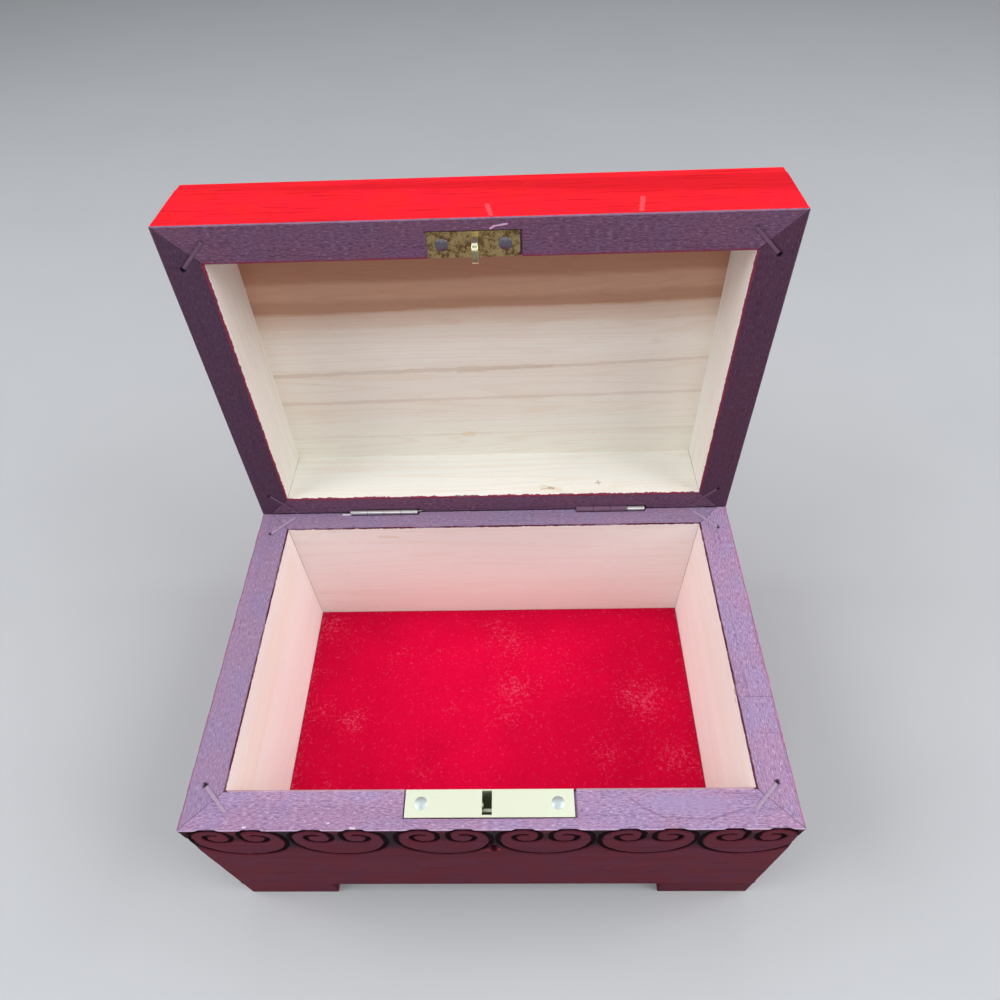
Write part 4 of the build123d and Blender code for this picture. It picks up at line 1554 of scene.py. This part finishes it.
@dataclass
class LidPanel:
    """The board planted over the lid's frame: rounded edges, a carved top, a bare underside."""

    sizes: Sizes
    finish: bpy.types.Material
    carver: CarvingTool
    scroll: Scroll
    step: float = 0.56 * MM
    rounding: float = 1.1 * MM
    plan_corner: float = 0.9 * MM
    border: float = 2.6 * MM
    long_count: int = 6
    worn_edge: float = 0.45 * MM

    def build(self) -> None:
        """Builds, carves and dresses the panel."""
        low, high = self.sizes.closed_box("lid_top_panel")
        r, c = self.rounding, self.plan_corner
        curve = r * (1 - np.cos(np.linspace(0, math.pi / 2, 8)))
        lines = [merged_lines(np.concatenate([a + curve, b - curve]), np.linspace(a, b, round((b - a) / self.step)),
                              least=0.4 * self.step) for a, b in ((low[0], high[0]), (low[1], high[1]))]
        x, y = np.meshgrid(*lines, indexing="ij")
        insets = np.minimum(x - low[0], high[0] - x), np.minimum(y - low[1], high[1] - y)
        falls = [r - np.sqrt(np.maximum(r * r - np.maximum(r - inset, 0) ** 2, 0)) for inset in insets]
        z = high[2] - np.minimum(np.hypot(*falls), r)
        dx, dy = (np.maximum(c - inset, 0) for inset in insets)
        pull = 1 - np.minimum(c / np.maximum(np.hypot(dx, dy), 1e-9), 1.0)
        middle = (low[1] + high[1]) / 2
        points, top, rest = closed_sheet(x - np.sign(x) * dx * pull, y - np.sign(y - middle) * dy * pull, z, low[2])
        count, extra = x.size, len(points) - x.size
        nearest = np.minimum(points - low, high - points)[:, :2].min(axis=1)
        past = ARRIS_MIDDLE - np.maximum(np.hypot(nearest, high[2] - points[:, 2]) - self.worn_edge, 0)
        panel = solid("lid_carved_panel", points, top + rest, {
            "board": points + board_shift(LID_PANEL),
            "unroll": np.stack([past, np.repeat([-5 * MM, -4 * MM], [count, extra]),
                                np.full(count + extra, 5 * MM)], axis=1),
            "carve": np.repeat([1.0, 0.0], [count, extra]),
            "ground": np.zeros(count + extra),
            "groove": np.zeros(count + extra),
        })
        edge_y, edge_x = self.sizes.depth / 2 - self.border, self.sizes.half_length - self.border
        pitch = 2 * edge_x / self.long_count
        spots = [((place - (self.long_count - 1) / 2) * pitch, middle + side * edge_y, high[2])
                 for side in (-1, 1) for place in range(self.long_count)]
        spots += [(side * edge_x, middle + place * pitch / 2, high[2]) for side in (-1, 1) for place in (-1, 1)]
        angles = [math.pi] * self.long_count + [0.0] * self.long_count + [math.pi / 2] * 2 + [-math.pi / 2] * 2
        self.carver.carve(panel, self.scroll, spots, [(0.0, 0.0, angle) for angle in angles], (0.0, 0.0, -1.0),
                          self.finish)
        self.bare_underside(panel, low[2])
        self.sizes.open_up(panel)
        hand_over(panel, "lid", "lid_top_panel", "red_painted_wood")

    @staticmethod
    def bare_underside(panel: bpy.types.Object, floor_z: float) -> None:
        """Leaves the underside bare, by a corner attribute that only its face reads.

        Args:
            panel: the panel.
            floor_z: the underside's height.
        """
        mesh = panel.data
        source = np.zeros(len(mesh.vertices) * 3, np.float32)
        mesh.attributes["unroll"].data.foreach_get("vector", source)
        corners = np.zeros(len(mesh.loops), np.int32)
        mesh.loops.foreach_get("vertex_index", corners)
        spread = source.reshape(-1, 3)[corners]
        for face in mesh.polygons:
            if face.normal.z < -0.9 and abs(face.center.z - floor_z) < 0.01 * MM:
                spread[list(face.loop_indices)] = 30 * MM
        mesh.attributes.remove(mesh.attributes["unroll"])
        write_values(mesh, {"unroll": spread}, "CORNER")


WELDED, FLAT_ANGLE, ROUNDED_ANGLE = 0.002 * MM, math.radians(0.6), math.radians(25)


def softened_copy(node: str, width: float, material: bpy.types.Material, segments: int = 2) -> bpy.types.Object:
    """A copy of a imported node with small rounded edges.

    Args:
        node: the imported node.
        width: the rounding's width.
        material: its finish.
        segments: faces across the rounding.

    Returns:
        The object, which stands for the node.
    """
    mesh = frame["nodes"][node].data.copy()
    made = bpy.data.objects.new(f"{node}_worn", mesh)
    bpy.context.scene.collection.objects.link(made)
    work = bmesh.new()
    work.from_mesh(mesh)
    bmesh.ops.remove_doubles(work, verts=work.verts, dist=WELDED)
    bmesh.ops.dissolve_limit(work, angle_limit=FLAT_ANGLE, verts=work.verts, edges=work.edges)
    work.to_mesh(mesh)
    work.free()
    bevel = made.modifiers.new("rounding", "BEVEL")
    bevel.width = width
    bevel.segments = segments
    bevel.limit_method = "ANGLE"
    bevel.angle_limit = ROUNDED_ANGLE
    bevel.use_clamp_overlap = True
    made.data.shade_smooth()
    made.modifiers.new("flat_faces", "WEIGHTED_NORMAL").weight = 100
    graph = bpy.context.evaluated_depsgraph_get()
    made.data = bpy.data.meshes.new_from_object(made.evaluated_get(graph), depsgraph=graph)
    made.modifiers.clear()
    made.data.materials.clear()
    made.data.materials.append(material)
    record = frame["record"]
    hand_over(made, next(body for body, nodes in record["behaviour"]["bodies"].items() if node in nodes), node,
              next(part["material_slot"] for part in record["subparts"] if part["node"] == node))
    return made


def tube_faces(rings: int, count: int) -> list[list[int]]:
    """The faces of a tube that is closed at both ends.

    Args:
        rings: how many rings of points it has.
        count: how many points a ring has.

    Returns:
        Vertex indices for each face.
    """
    last = (rings - 1) * count
    around = [[base + i, base + (i + 1) % count, base + count + (i + 1) % count, base + count + i]
              for base in range(0, last, count) for i in range(count)]
    return around + [list(range(count)), list(range(last, last + count))]


class StapleTool(NodeTool):
    """Repeats one staple on the places across the mitres."""

    def __init__(self) -> None:
        """Builds the tree."""
        super().__init__("place_staples", Staple="Object")

    def shape(self, given: Wire) -> Wire:
        """The repeated staple."""
        return self.repeated(given["Geometry"], given["Staple"], self.named("turn", "FLOAT_VECTOR"))


@dataclass
class Staples:
    """The four painted-over staples of one rim."""

    boards: MitredFrame
    material: bpy.types.Material
    tool: StapleTool
    sunk: float = 0.12 * MM
    wire: float = 0.6 * MM
    leg: float = 4.0 * MM

    def one(self) -> bpy.types.Object:
        """Makes one staple along X, its crown's top at z 0.

        Returns:
            The helper object.
        """
        half, width, path = self.boards.staple_half, self.boards.staple_width * 0.8, []
        for end, bend in ((-1, self.wire), (1, 2.2 * self.wire)):
            side = [(end * half, -self.leg), (end * half, -bend)]
            side += [(end * (half - bend * (1 - math.cos(a))), -bend * (1 - math.sin(a)))
                     for a in np.linspace(0.3, 1.57, 5)]
            path += side[::-end] if end > 0 else side
        ring = [tuple(0.5 * size * math.copysign(abs(turn) ** 0.6, turn)
                      for size, turn in ((width, math.cos(t)), (self.wire, math.sin(t))))
                for t in np.linspace(0, 2 * math.pi, 12, endpoint=False)]
        points = []
        for place, (x, z) in enumerate(path):
            ahead, behind = path[min(place + 1, len(path) - 1)], path[max(place - 1, 0)]
            tangent = Vector((ahead[0] - behind[0], 0, ahead[1] - behind[1])).normalized()
            normal = Vector((-tangent.z, 0, tangent.x))
            centre = Vector((x, 0, z)) - normal * self.wire / 2
            points += [centre + Vector((0, a, 0)) + normal * b for a, b in ring]
        return solid("one_staple", points, tube_faces(len(path), len(ring)))

    def build(self) -> None:
        """Places the four staples."""
        boards = self.boards
        up = Vector((0, 0, -1 if boards.is_lid else 1))
        spots, turns = [], []
        for start, end in boards.staples():
            a, b = Vector((*start, 0)), Vector((*end, 0))
            across = (b - a).normalized()
            spots.append((a + b) / 2 + Vector((0, 0, boards.rim_z)) - up * self.sunk)
            turns.append(Matrix((across, up.cross(across), up)).transposed().to_euler())
        places, staple = turned_points(spots, turns), self.one()
        places.name = f"{boards.body}_mitre_staples"
        self.tool.run(places, Staple=staple, Material=self.material)
        drop(staple)
        if boards.is_lid:
            boards.sizes.open_up(places)
        places.data.shade_smooth()
        hand_over(places, boards.body, f"{boards.body}_corner_staples", "steel")


class LintTool(NodeTool):
    """Scatters bent fibres of lint over the velvet, in clouds."""

    def __init__(self) -> None:
        """Builds the tree."""
        super().__init__("scatter_lint", Fibre="Object", Density="Float", Cloud_Scale="Float", Lift="Float",
                         Seed="Int")

    def shape(self, given: Wire) -> Wire:
        """The scattered fibres.

        Args:
            given: the tree's inputs.

        Returns:
            The instances.
        """
        put, seed = self.sketch.put, given["Seed"]
        ragged = put("GeometryNodeInputPosition").noise(given["Cloud Scale"], 3.0, 0.6).span(0.4, 0.6, 0.1, 1.0)
        thick = self.named("cloud") * ragged + 0.018
        scatter = put("GeometryNodeDistributePointsOnFaces", {
            "Mesh": given["Geometry"], "Density": given["Density"] * thick, "Seed": seed}, distribute_method="RANDOM")
        lift = put("ShaderNodeCombineXYZ", {"Z": given["Lift"]})
        raised = put("GeometryNodeSetPosition", {"Geometry": scatter, "Offset": lift})
        turn, size = (put("FunctionNodeRandomValue", {0: low, 1: high, "Seed": seed}, data_type="FLOAT_VECTOR")
                      for low, high in (((-0.1, -0.1, 0.0), (0.1, 0.1, 2 * math.pi)),
                                        ((0.35, -1.0, 0.5), (1.25, 1.0, 1.0))))
        return self.repeated(raised, given["Fibre"], turn, size)


@dataclass
class Lining:
    """The velvet over the floor card, and the lint on it.

    Each cloud of lint is (mm from the middle, mm from the rear edge, radius in mm, thickness).
    """

    velvet: bpy.types.Material
    lint: bpy.types.Material
    step: float = 0.85 * MM
    edge_round: float = 0.9 * MM
    relief: float = 0.07 * MM
    fibre_length: float = 2.3 * MM
    fibre_width: float = 0.06 * MM
    fibre_rings: int = 6
    fibre_lift: float = 0.03 * MM
    density: float = 480000.0
    cloud_scale: float = 190.0
    seed: int = 11
    clouds: tuple[tuple[float, float, float, float], ...] = (
        (-80, 8, 7, 0.6), (-64, 57, 6, 0.9), (-77, 52, 5, 0.5), (6, 17, 8, 0.6), (8, 42, 8, 0.8), (3, 55, 6, 0.4),
        (65, 47, 10, 0.9), (48, 72, 8, 0.5), (77, 74, 9, 0.6), (-18, 51, 5, 0.3), (-32, 81, 4, 0.5),
        (-72, 84, 4, 0.5), (-2, 8, 5, 0.4), (30, 30, 7, 0.25), (-45, 25, 7, 0.25))

    def pile(self, points: np.ndarray, low: Vector, high: Vector) -> dict[str, np.ndarray]:
        """How thickly lint lies in its clouds and along the edges, and the painted shade on the pile along the walls.

        Args:
            points: rows of (x, y, z).
            low: the velvet's low corner.
            high: the velvet's high corner.

        Returns:
            The attributes cloud and shade.
        """
        left, right, back = points[:, 0] - low.x, high.x - points[:, 0], high.y - points[:, 1]
        thick = np.zeros(len(points))
        for across, behind, radius, strength in self.clouds:
            apart = np.hypot(points[:, 0] - across * MM, back - behind * MM)
            thick += strength * np.exp(-((apart / (radius * MM)) ** 2))
        thick += 0.9 * np.exp(-left / (1.8 * MM)) + 0.6 * np.exp(-right / (1.5 * MM)) + 0.5 * np.exp(-back / (1.0 * MM))
        # Painted shade on the pile along the left, right and rear walls.
        beside = np.maximum(0.6 * np.exp(-left / (11 * MM)), 0.5 * np.exp(-right / (7 * MM)))
        return {"cloud": thick, "shade": np.clip(beside + 0.4 * np.exp(-back / (9 * MM)), 0.0, 0.85)}

    def build(self) -> None:
        """Builds the velvet and its lint."""
        low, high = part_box("velvet_lining")
        lines = [merged_lines([a, a + 0.2 * MM, a + 0.5 * MM, b - 0.5 * MM, b - 0.2 * MM, b],
                              np.arange(a, b, self.step), least=0.25 * MM)
                 for a, b in ((low.x, high.x), (low.y, high.y))]
        x, y = np.meshgrid(*lines, indexing="ij")
        inset = np.minimum(np.minimum(x - low.x, high.x - x), np.minimum(y - low.y, high.y - y))
        fall = np.maximum(self.edge_round - inset, 0) ** 2 / (2 * self.edge_round)
        waves = ripple(x + 0.4 * y, 1.7, 0.5) + ripple(y - 0.3 * x, 4.2, 0.5)
        z = high.z - self.relief + self.relief * waves * np.clip(inset / (3 * MM), 0, 1) - fall * 0.5
        points, top, rest = closed_sheet(x, y, np.minimum(z, high.z), low.z)
        velvet = solid("velvet_pile", points, top + rest, self.pile(points, low, high))
        velvet.data.materials.append(self.velvet)
        hand_over(velvet, "box", "velvet_lining", "crimson_velvet")
        patch, fibre = solid("velvet_lint", points[:x.size], top, self.pile(points[:x.size], low, high)), self.fibre()
        LintTool().run(patch, Fibre=fibre, Density=self.density, Cloud_Scale=self.cloud_scale,
                       Lift=self.fibre_lift, Seed=self.seed, Material=self.lint)
        drop(fibre)
        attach(patch, "box")
        log.info("%s scattered: %d faces", patch.name, len(patch.data.polygons))

    def fibre(self) -> bpy.types.Object:
        """One bent fibre as a three-sided thread.

        Returns:
            The helper object.
        """
        length, points = self.fibre_length, []
        for t in np.linspace(0, 1, self.fibre_rings):
            centre = Vector((t * length, 0.28 * length * math.sin(2.6 * t) * t, 0.1 * length * math.sin(math.pi * t)))
            points += [centre + Vector((0, math.cos(turn), math.sin(turn))) * self.fibre_width / 2
                       for turn in (0.5, 2.6, 4.7)]
        return solid("one_fibre", points, tube_faces(self.fibre_rings, 3))


@dataclass
class Hardware:
    """The lock, the catch, the hinges and their nails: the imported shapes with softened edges."""

    effects: Effects
    overpaint: bpy.types.Material
    painted_to: float = 57.5 * MM
    brass: MetalFinish = MetalFinish("pale_brass", (0.9, 0.95, 0.76), (0.74, 0.78, 0.5), 0.1, 0.46)
    old_brass: MetalFinish = MetalFinish("old_brass", (0.44, 0.345, 0.16), (0.16, 0.1, 0.045), 0.75, 0.42)
    loop_brass: MetalFinish = MetalFinish("loop_brass", (0.95, 0.93, 0.66), (0.14, 0.09, 0.03), 0.3, 0.3)
    pale_zinc: MetalFinish = MetalFinish("pale_zinc", (0.62, 0.7, 0.71), (0.24, 0.29, 0.31), 0.45, 0.55)
    blued: MetalFinish = MetalFinish("blued_steel", (0.17, 0.17, 0.21), (0.07, 0.07, 0.09), 0.3, 0.48)
    nickel: MetalFinish = MetalFinish("nickel", (0.7, 0.69, 0.7), (0.36, 0.33, 0.34), 0.2, 0.3)
    steel: MetalFinish = MetalFinish("zinc_steel", (0.42, 0.46, 0.52), (0.26, 0.27, 0.3), 0.3, 0.38)

    def build(self) -> None:
        """Dresses each piece, in the order of its rounding in mm and its metal."""
        brass, nickel, steel = (finish.build(self.effects) for finish in (self.brass, self.nickel, self.steel))
        loop = replace(self.loop_brass, dark_from=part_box("catch_loop")[0].y).build(self.effects)
        pieces = {
            "lock_plate": (0.12, brass), "lock_case": (0.05, brass), "lock_pillars": (0.05, brass),
            "lock_bolt": (0.08, brass), "lock_spring": (0.04, steel), "lock_key_pin": (0.1, steel),
            "lock_plate_nails": (0.05, self.pale_zinc.build(self.effects)),
            "catch_plate": (0.12, self.old_brass.build(self.effects)), "catch_loop": (0.18, loop),
            "catch_plate_nails": (0.05, self.blued.build(self.effects)),
            "hinge_box_nails": (0.04, nickel), "hinge_lid_nails": (0.04, nickel), "bottom_board_nails": (0.08, steel),
        }
        for hinge in ("left_hinge", "right_hinge"):
            pieces |= {f"{hinge}_box_leaf": (0.1, nickel), f"{hinge}_lid_leaf": (0.1, nickel),
                       f"{hinge}_pin": (0.08, steel)}
        for node, (rounding, material) in pieces.items():
            piece = softened_copy(node, rounding * MM, material)
            if node in ("right_hinge_box_leaf", "right_hinge_lid_leaf"):
                self.paint_over(piece)

    def paint_over(self, leaf: bpy.types.Object) -> None:
        """Gives the right hinge's inner knuckles the coat of paint that ran over them.

        Args:
            leaf: the leaf.
        """
        leaf.data.materials.append(self.overpaint)
        for face in leaf.data.polygons:
            if face.center.x < self.painted_to:
                face.material_index = 1


@dataclass
class Base:
    """The bottom board, the eight foot blocks and the card."""

    paint: bpy.types.Material
    card: bpy.types.Material
    rounding: float = 0.45 * MM
    first_seed: int = 11

    def build(self) -> None:
        """Dresses each piece."""
        blocks = sorted(node for node in frame["nodes"] if "_foot_" in node)
        for seed, node in enumerate(["box_bottom_board"] + blocks, start=self.first_seed):
            self.grain(softened_copy(node, self.rounding, self.paint, segments=3), seed, "side_block" in node)
        softened_copy("floor_card", 0.08 * MM, self.card)

    @staticmethod
    def grain(piece: bpy.types.Object, seed: int, sideways: bool) -> None:
        """Gives a plain wooden piece the attributes that a board finish reads.

        Args:
            piece: the object.
            seed: what sets its grain apart.
            sideways: whether its grain follows Y, not X.
        """
        points = get_vertices(piece)
        gaps = np.sort(np.minimum(points - points.min(0), points.max(0) - points), axis=1)
        inside = np.full(len(points), 5 * MM)
        write_values(piece.data, {
            "board": points[:, [1, 0, 2] if sideways else [0, 1, 2]] + np.array([3.3 * seed, 0.21 * seed, 0.0]),
            "unroll": np.stack([-(gaps[:, 1] + 0.5 * MM), -inside, inside], axis=1),
            "ground": np.zeros(len(points)),
            "groove": np.zeros(len(points)),
        })


@dataclass(frozen=True)
class Studio:
    """The pale floor, the soft lights and the camera at the photograph's place.

    Each light has a name, a place, a side in metres, a power in watts and a tint.
    """

    camera_place: Place = (0.01239, -0.15175, 0.32802)
    camera_turn: Place = (39.934, 1.886, 0.317)
    lens: float = 26.185
    floor_half: float = 3.0
    aim: Place = (0.0, 0.0, 0.1)
    sky: Tone = (0.93, 0.96, 1.0)
    sky_strength: float = 0.2
    lights: tuple[tuple[str, Place, float, float, Tone], ...] = (
        ("front", (0.0, -1.0, 0.9), 0.8, 3.6, (1.0, 0.99, 0.97)),
        ("behind", (0.05, 0.4, 1.25), 0.9, 2.2, (0.97, 0.98, 1.0)),
        ("left", (-0.95, -0.15, 0.95), 0.9, 11.0, (1.0, 0.99, 0.98)),
        ("right", (0.95, -0.15, 0.95), 0.9, 11.5, (1.0, 0.99, 0.98)))

    def build(self, effects: Effects) -> None:
        """Makes the camera, the floor, the lights and the sky.

        Args:
            effects: the shared groups.
        """
        scene = bpy.context.scene
        camera = bpy.data.cameras.new("photo_camera")
        camera.lens = self.lens
        camera.sensor_width = 36.0
        camera.clip_start = 0.01
        scene.camera = bpy.data.objects.new("photo_camera", camera)
        scene.camera.location = self.camera_place
        scene.camera.rotation_euler = [math.radians(angle) for angle in self.camera_turn]
        scene.collection.objects.link(scene.camera)
        scene.view_settings.view_transform = "Standard"
        half = self.floor_half
        floor = linked("studio_floor", [(-half, -half, 0), (half, -half, 0), (half, half, 0), (-half, half, 0)], (),
                       [(0, 1, 2, 3)])
        floor.data.materials.append(FloorFinish().build(effects))
        for name, place, size, power, tint in self.lights:
            data = bpy.data.lights.new(name, "AREA")
            data.shape = "SQUARE"
            data.size = size
            data.energy = power
            data.color = tint
            lamp = bpy.data.objects.new(name, data)
            lamp.location = place
            lamp.rotation_euler = (Vector(self.aim) - Vector(place)).to_track_quat("-Z", "Y").to_euler()
            scene.collection.objects.link(lamp)
        scene.world = bpy.data.worlds.new("studio")
        scene.world.use_nodes = True
        sky = scene.world.node_tree.nodes["Background"].inputs
        sky["Color"].default_value = (*self.sky, 1.0)
        sky["Strength"].default_value = self.sky_strength


def case_finish() -> BoardFinish:
    """The case's worn maroon paint with its violet rim, the maroon darkened in part as painted shade on the walls.

    Returns:
        The finish.
    """
    scored, pale, stained, red = (0.1, 0.05, 0.12), (0.8, 0.72, 0.86), (0.34, 0.27, 0.47), (0.7, 0.04, 0.04)
    return BoardFinish(
        # Outer tones: maroon paint, darkened in part as painted shade on walls that the lights hardly reach.
        "maroon_paint_and_shade", (0.155, 0.022, 0.038), (0.135, 0.026, 0.052), (0.09, 0.014, 0.027), (0.4, 0.12, 0.16),
        rim_marks=(
            # A broad greyer tint over the left rim, and a darker one over the rear rim as painted shade from the lid
            # that stands behind it.
            Mark(BOX_LEFT, (-70, 0, 6), (70, 0, 6), 20.0, (0.2, 0.15, 0.24), 0.4),
            Mark(BOX_REAR, (-99, 0, 9), (99, 0, 9), 20.0, (0.16, 0.13, 0.2), 0.4),
            Mark(BOX_LEFT, (-66, 0, 0.2), (66, 0, 0.2), 0.7, (0.3, 0.03, 0.08), 0.45),
            Mark(BOX_RIGHT, (-66, 0, 0.2), (66, 0, 0.2), 0.9, (0.45, 0.07, 0.17), 0.4),
            Mark(BOX_FRONT, (56, 0, 7.6), (73, 0, 7.3), 4.6, stained, 0.4),
            Mark(BOX_FRONT, (50, 0, 8.6), (79, 0, 8.0), 2.6, stained, 0.3),
            Mark(BOX_FRONT, (46.5, 0, 9.3), (50, 0, 6.6), 0.45, scored, 0.3),
            Mark(BOX_FRONT, (50, 0, 6.6), (56, 0, 3.8), 0.45, scored, 0.3),
            Mark(BOX_FRONT, (56, 0, 3.8), (71, 0, 3.2), 0.45, scored, 0.25),
            Mark(BOX_FRONT, (71, 0, 3.2), (82, 0, 6.2), 0.45, scored, 0.3)),
        marks=(
            # Painted highlight: a pale line along the front rim's inner arris.
            Mark(BOX_FRONT, (-86, 0, 12.6), (86, 0, 12.6), 0.6, (0.72, 0.5, 0.62), 0.5),
            Mark(BOX_LEFT, (-52, 17, 12.9), (40, 15, 12.9), 13.0, (0.95, 0.84, 0.66), 0.25),
            Mark(BOX_REAR, (-49, 6, 12.9), (-41, 6.5, 12.9), 0.8, (0.78, 0.62, 0.42), 0.5),
            Mark(BOX_RIGHT, (-23.2, 0, 0.6), (-22.9, 0, 12.4), 0.16, scored, 0.6),
            Mark(BOX_RIGHT, (-36.4, 0, 0.6), (-36.2, 0, 7.5), 0.16, scored, 0.5),
            Mark(BOX_RIGHT, (-21.4, 1.2, 12.9), (-19.6, 1.5, 12.9), 0.45, (0.3, 0.12, 0.08)),
            Mark(BOX_RIGHT, (-24.2, 2.2, 12.9), (-22.6, 2.3, 12.9), 0.45, (0.3, 0.12, 0.08)),
            Mark(BOX_FRONT, (0.2, 19.2, 0), (0.9, 20.3, 0), 0.6, (0.75, 0.03, 0.03)),
            Mark(BOX_FRONT, (2.9, 21.4, 0), (3.4, 22.6, 0), 0.5, red),
            Mark(BOX_FRONT, (-1.0, 23.4, 0), (0.2, 24.4, 0), 0.4, red),
            Mark(BOX_FRONT, (-78.6, 0, 1.2), (-77.8, 0, 1.3), 0.5, pale),
            Mark(BOX_FRONT, (-51.4, 0, 2.2), (-51, 0, 2.3), 0.4, pale),
            Mark(BOX_FRONT, (-43.8, 0, 0.8), (-42.4, 0, 0.7), 0.5, pale),
            Mark(BOX_REAR, (-64.6, 0, 5.2), (-61.2, 0, 5.1), 0.6, pale, 0.9),
            # Painted shadow: a black line across the rear rim, in the gap between the case's and the lid's rims at the
            # hinge.
            Mark(BOX_REAR, (-99, 0, 4.0), (99, 0, 4.0), 0.5, (0.006, 0.003, 0.006), 0.9)))


def lid_finishes() -> tuple[BoardFinish, BoardFinish]:
    """The lid's red paint, on its frame with a violet rim that is darker in part as painted shade, and on its panel
    with heartwood and painted shadow of the lid's front wall underneath.

    Returns:
        The frame's finish and the panel's.
    """
    glint, thread, split = (1.0, 0.2, 0.24), (0.85, 0.5, 0.75), (0.48, 0.27, 0.18)
    walls = BoardFinish(
        # Red paint; its pale worn tone, spread wider along the arrises by wear_reach, is partly painted highlight on
        # the rounded edges.
        "red_paint", (0.95, 0.013, 0.022), (0.93, 0.01, 0.03), (0.52, 0.003, 0.008), (1.0, 0.25, 0.32),
        # The lid's rim: the case rim's violet paint made darker, in part as painted shade on the upright rim.
        rim=(0.18, 0.082, 0.148), rim_cool=(0.165, 0.082, 0.157), rim_dark=(0.06, 0.025, 0.05),
        rim_pale=(0.36, 0.24, 0.36), bare=(0.9, 0.9, 0.85), bare_band=(0.78, 0.64, 0.5), edge=(0.25, 0.03, 0.07),
        shine=0.12, wear_reach=0.2 * MM, scratched=0.03, streaks=0.85, paint_reach=0.6 * MM,
        rim_marks=(
            Mark(LID_LEFT, (-70, 0, 6), (70, 0, 6), 22.0, (0.035, 0.017, 0.038), 0.6),
            Mark(LID_RIGHT, (-70, 0, 6), (70, 0, 6), 22.0, (0.045, 0.013, 0.03), 0.6)),
        marks=(
            Mark(LID_FRONT, (3.4, 8.8, 0), (4.7, 2.0, 0), 1.1, glint, 0.35),
            Mark(LID_FRONT, (51.8, 11, 0), (50.2, 2.0, 0), 1.0, glint, 0.35),
            Mark(LID_FRONT, (4.4, 0, 3.5), (5.6, 0, 2.7), 0.5, thread, 0.8),
            Mark(LID_FRONT, (5.6, 0, 2.7), (9.6, 0, 2.1), 0.35, thread, 0.8),
            Mark(LID_REAR, (22, 4.6, 12.9), (29, 3.2, 12.9), 2.0, (0.7, 0.58, 0.4), 0.35),
            Mark(LID_REAR, (24.6, 4.2, 12.9), (26.4, 3.8, 12.9), 0.9, (0.34, 0.24, 0.12), 0.6),
            Mark(LID_REAR, (21, 3.4, 12.9), (25, 4.4, 12.9), 0.5, (0.45, 0.33, 0.2), 0.4),
            Mark(LID_REAR, (44.5, 6.7, 12.9), (46.5, 7, 12.9), 0.6, split, 0.5),
            Mark(LID_REAR, (45.7, 5.9, 12.9), (45.4, 8.1, 12.9), 0.6, split, 0.5),
            # Painted shadow: a black line across the rear rim, in the gap between the lid's and the case's rims at the
            # hinge.
            Mark(LID_REAR, (-99, 0, 4.0), (99, 0, 4.0), 0.35, (0.006, 0.003, 0.006), 0.9)))
    # Tones of the panel underside's bands: heartwood, and towards the front edge painted shadow of the lid's front
    # wall.
    brown, tan, dark, ring = (0.51, 0.285, 0.207), (0.64, 0.41, 0.32), (0.53, 0.325, 0.245), (0.6, 0.48, 0.37)
    panel = replace(
        walls, name="red_paint_carved", rim=walls.outer, rim_cool=walls.outer_cool, rim_dark=walls.outer_dark,
        rim_pale=walls.outer_wear_and_highlight, bare=(0.91, 0.88, 0.8), paint_reach=0.3 * MM, rim_marks=(),
        figure_and_shadow=((0.0, brown), (1.0, (1, 1, 1)), (0.24, brown), (0.29, tan), (0.41, tan), (0.47, dark), (0.55, dark),
                (0.585, (0.74, 0.59, 0.52)), (0.72, (0.83, 0.73, 0.67)), (0.76, (0.9, 0.85, 0.82))),
        marks=(
            Mark(LID_PANEL, (-87, 6.9, 110.9), (87, 3.9, 110.9), 1.2, ring, 0.3),
            Mark(LID_PANEL, (-87, -7.6, 110.9), (25, -10.4, 110.9), 1.4, ring, 0.4),
            Mark(LID_PANEL, (-12, -8.2, 110.9), (87, -12.6, 110.9), 1.1, ring, 0.35),
            Mark(LID_PANEL, (-87, 26.1, 110.9), (87, 23.6, 110.9), 0.9, ring, 0.15),
            Mark(LID_PANEL, (-8, 25.3, 110.9), (-12, 25.2, 110.9), 1.6, (0.8, 0.56, 0.34), 0.35)))
    return walls, panel


def main() -> None:
    """Builds the box's looks piece by piece."""
    logging.basicConfig(level=logging.INFO, format="%(name)s: %(message)s", stream=sys.stdout)
    sizes, effects, scroll, carver, tool = Sizes.read(), Effects(), Scroll(), CarvingTool(), StapleTool()
    Studio().build(effects)

    case_paint = case_finish().build(effects)
    lid_paint, panel_paint = (finish.build(effects) for finish in lid_finishes())
    case = MitredFrame("box", sizes, case_paint, carver, scroll)
    case.build()
    lid = MitredFrame("lid", sizes, lid_paint, carver, scroll)
    lid.build()
    LidPanel(sizes, panel_paint, carver, replace(scroll, scale=0.95)).build()

    rim_wire = PlainFinish("painted_wire", (0.47, 0.35, 0.48), (0.25, 0.17, 0.28), 0.6, 900.0).build(effects)
    # The lid's staples take the lid rim's darker paint, which is in part painted shade; the right hinge's painted
    # knuckles get it too.
    dark_wire = PlainFinish("dark_painted_wire", (0.2, 0.1, 0.18), (0.11, 0.05, 0.1), 0.6, 900.0).build(effects)
    Staples(case, rim_wire, tool).build()
    Staples(lid, dark_wire, tool).build()
    Hardware(effects, dark_wire).build()
    Base(case_paint, PlainFinish("grey_card", (0.5, 0.44, 0.36), (0.38, 0.33, 0.27)).build(effects)).build()
    lint = PlainFinish("lint", (0.93, 0.24, 0.36), (0.86, 0.11, 0.21), 0.95, 900.0).build(effects)
    Lining(VelvetFinish().build(effects), lint).build()

    triangles = sum(sum(len(p.vertices) - 2 for p in o.data.polygons)
                    for o in bpy.context.scene.objects if o.type == "MESH" and not o.hide_render)
    log.info("%d triangles show", triangles)
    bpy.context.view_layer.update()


if __name__ == "__main__":
    main()
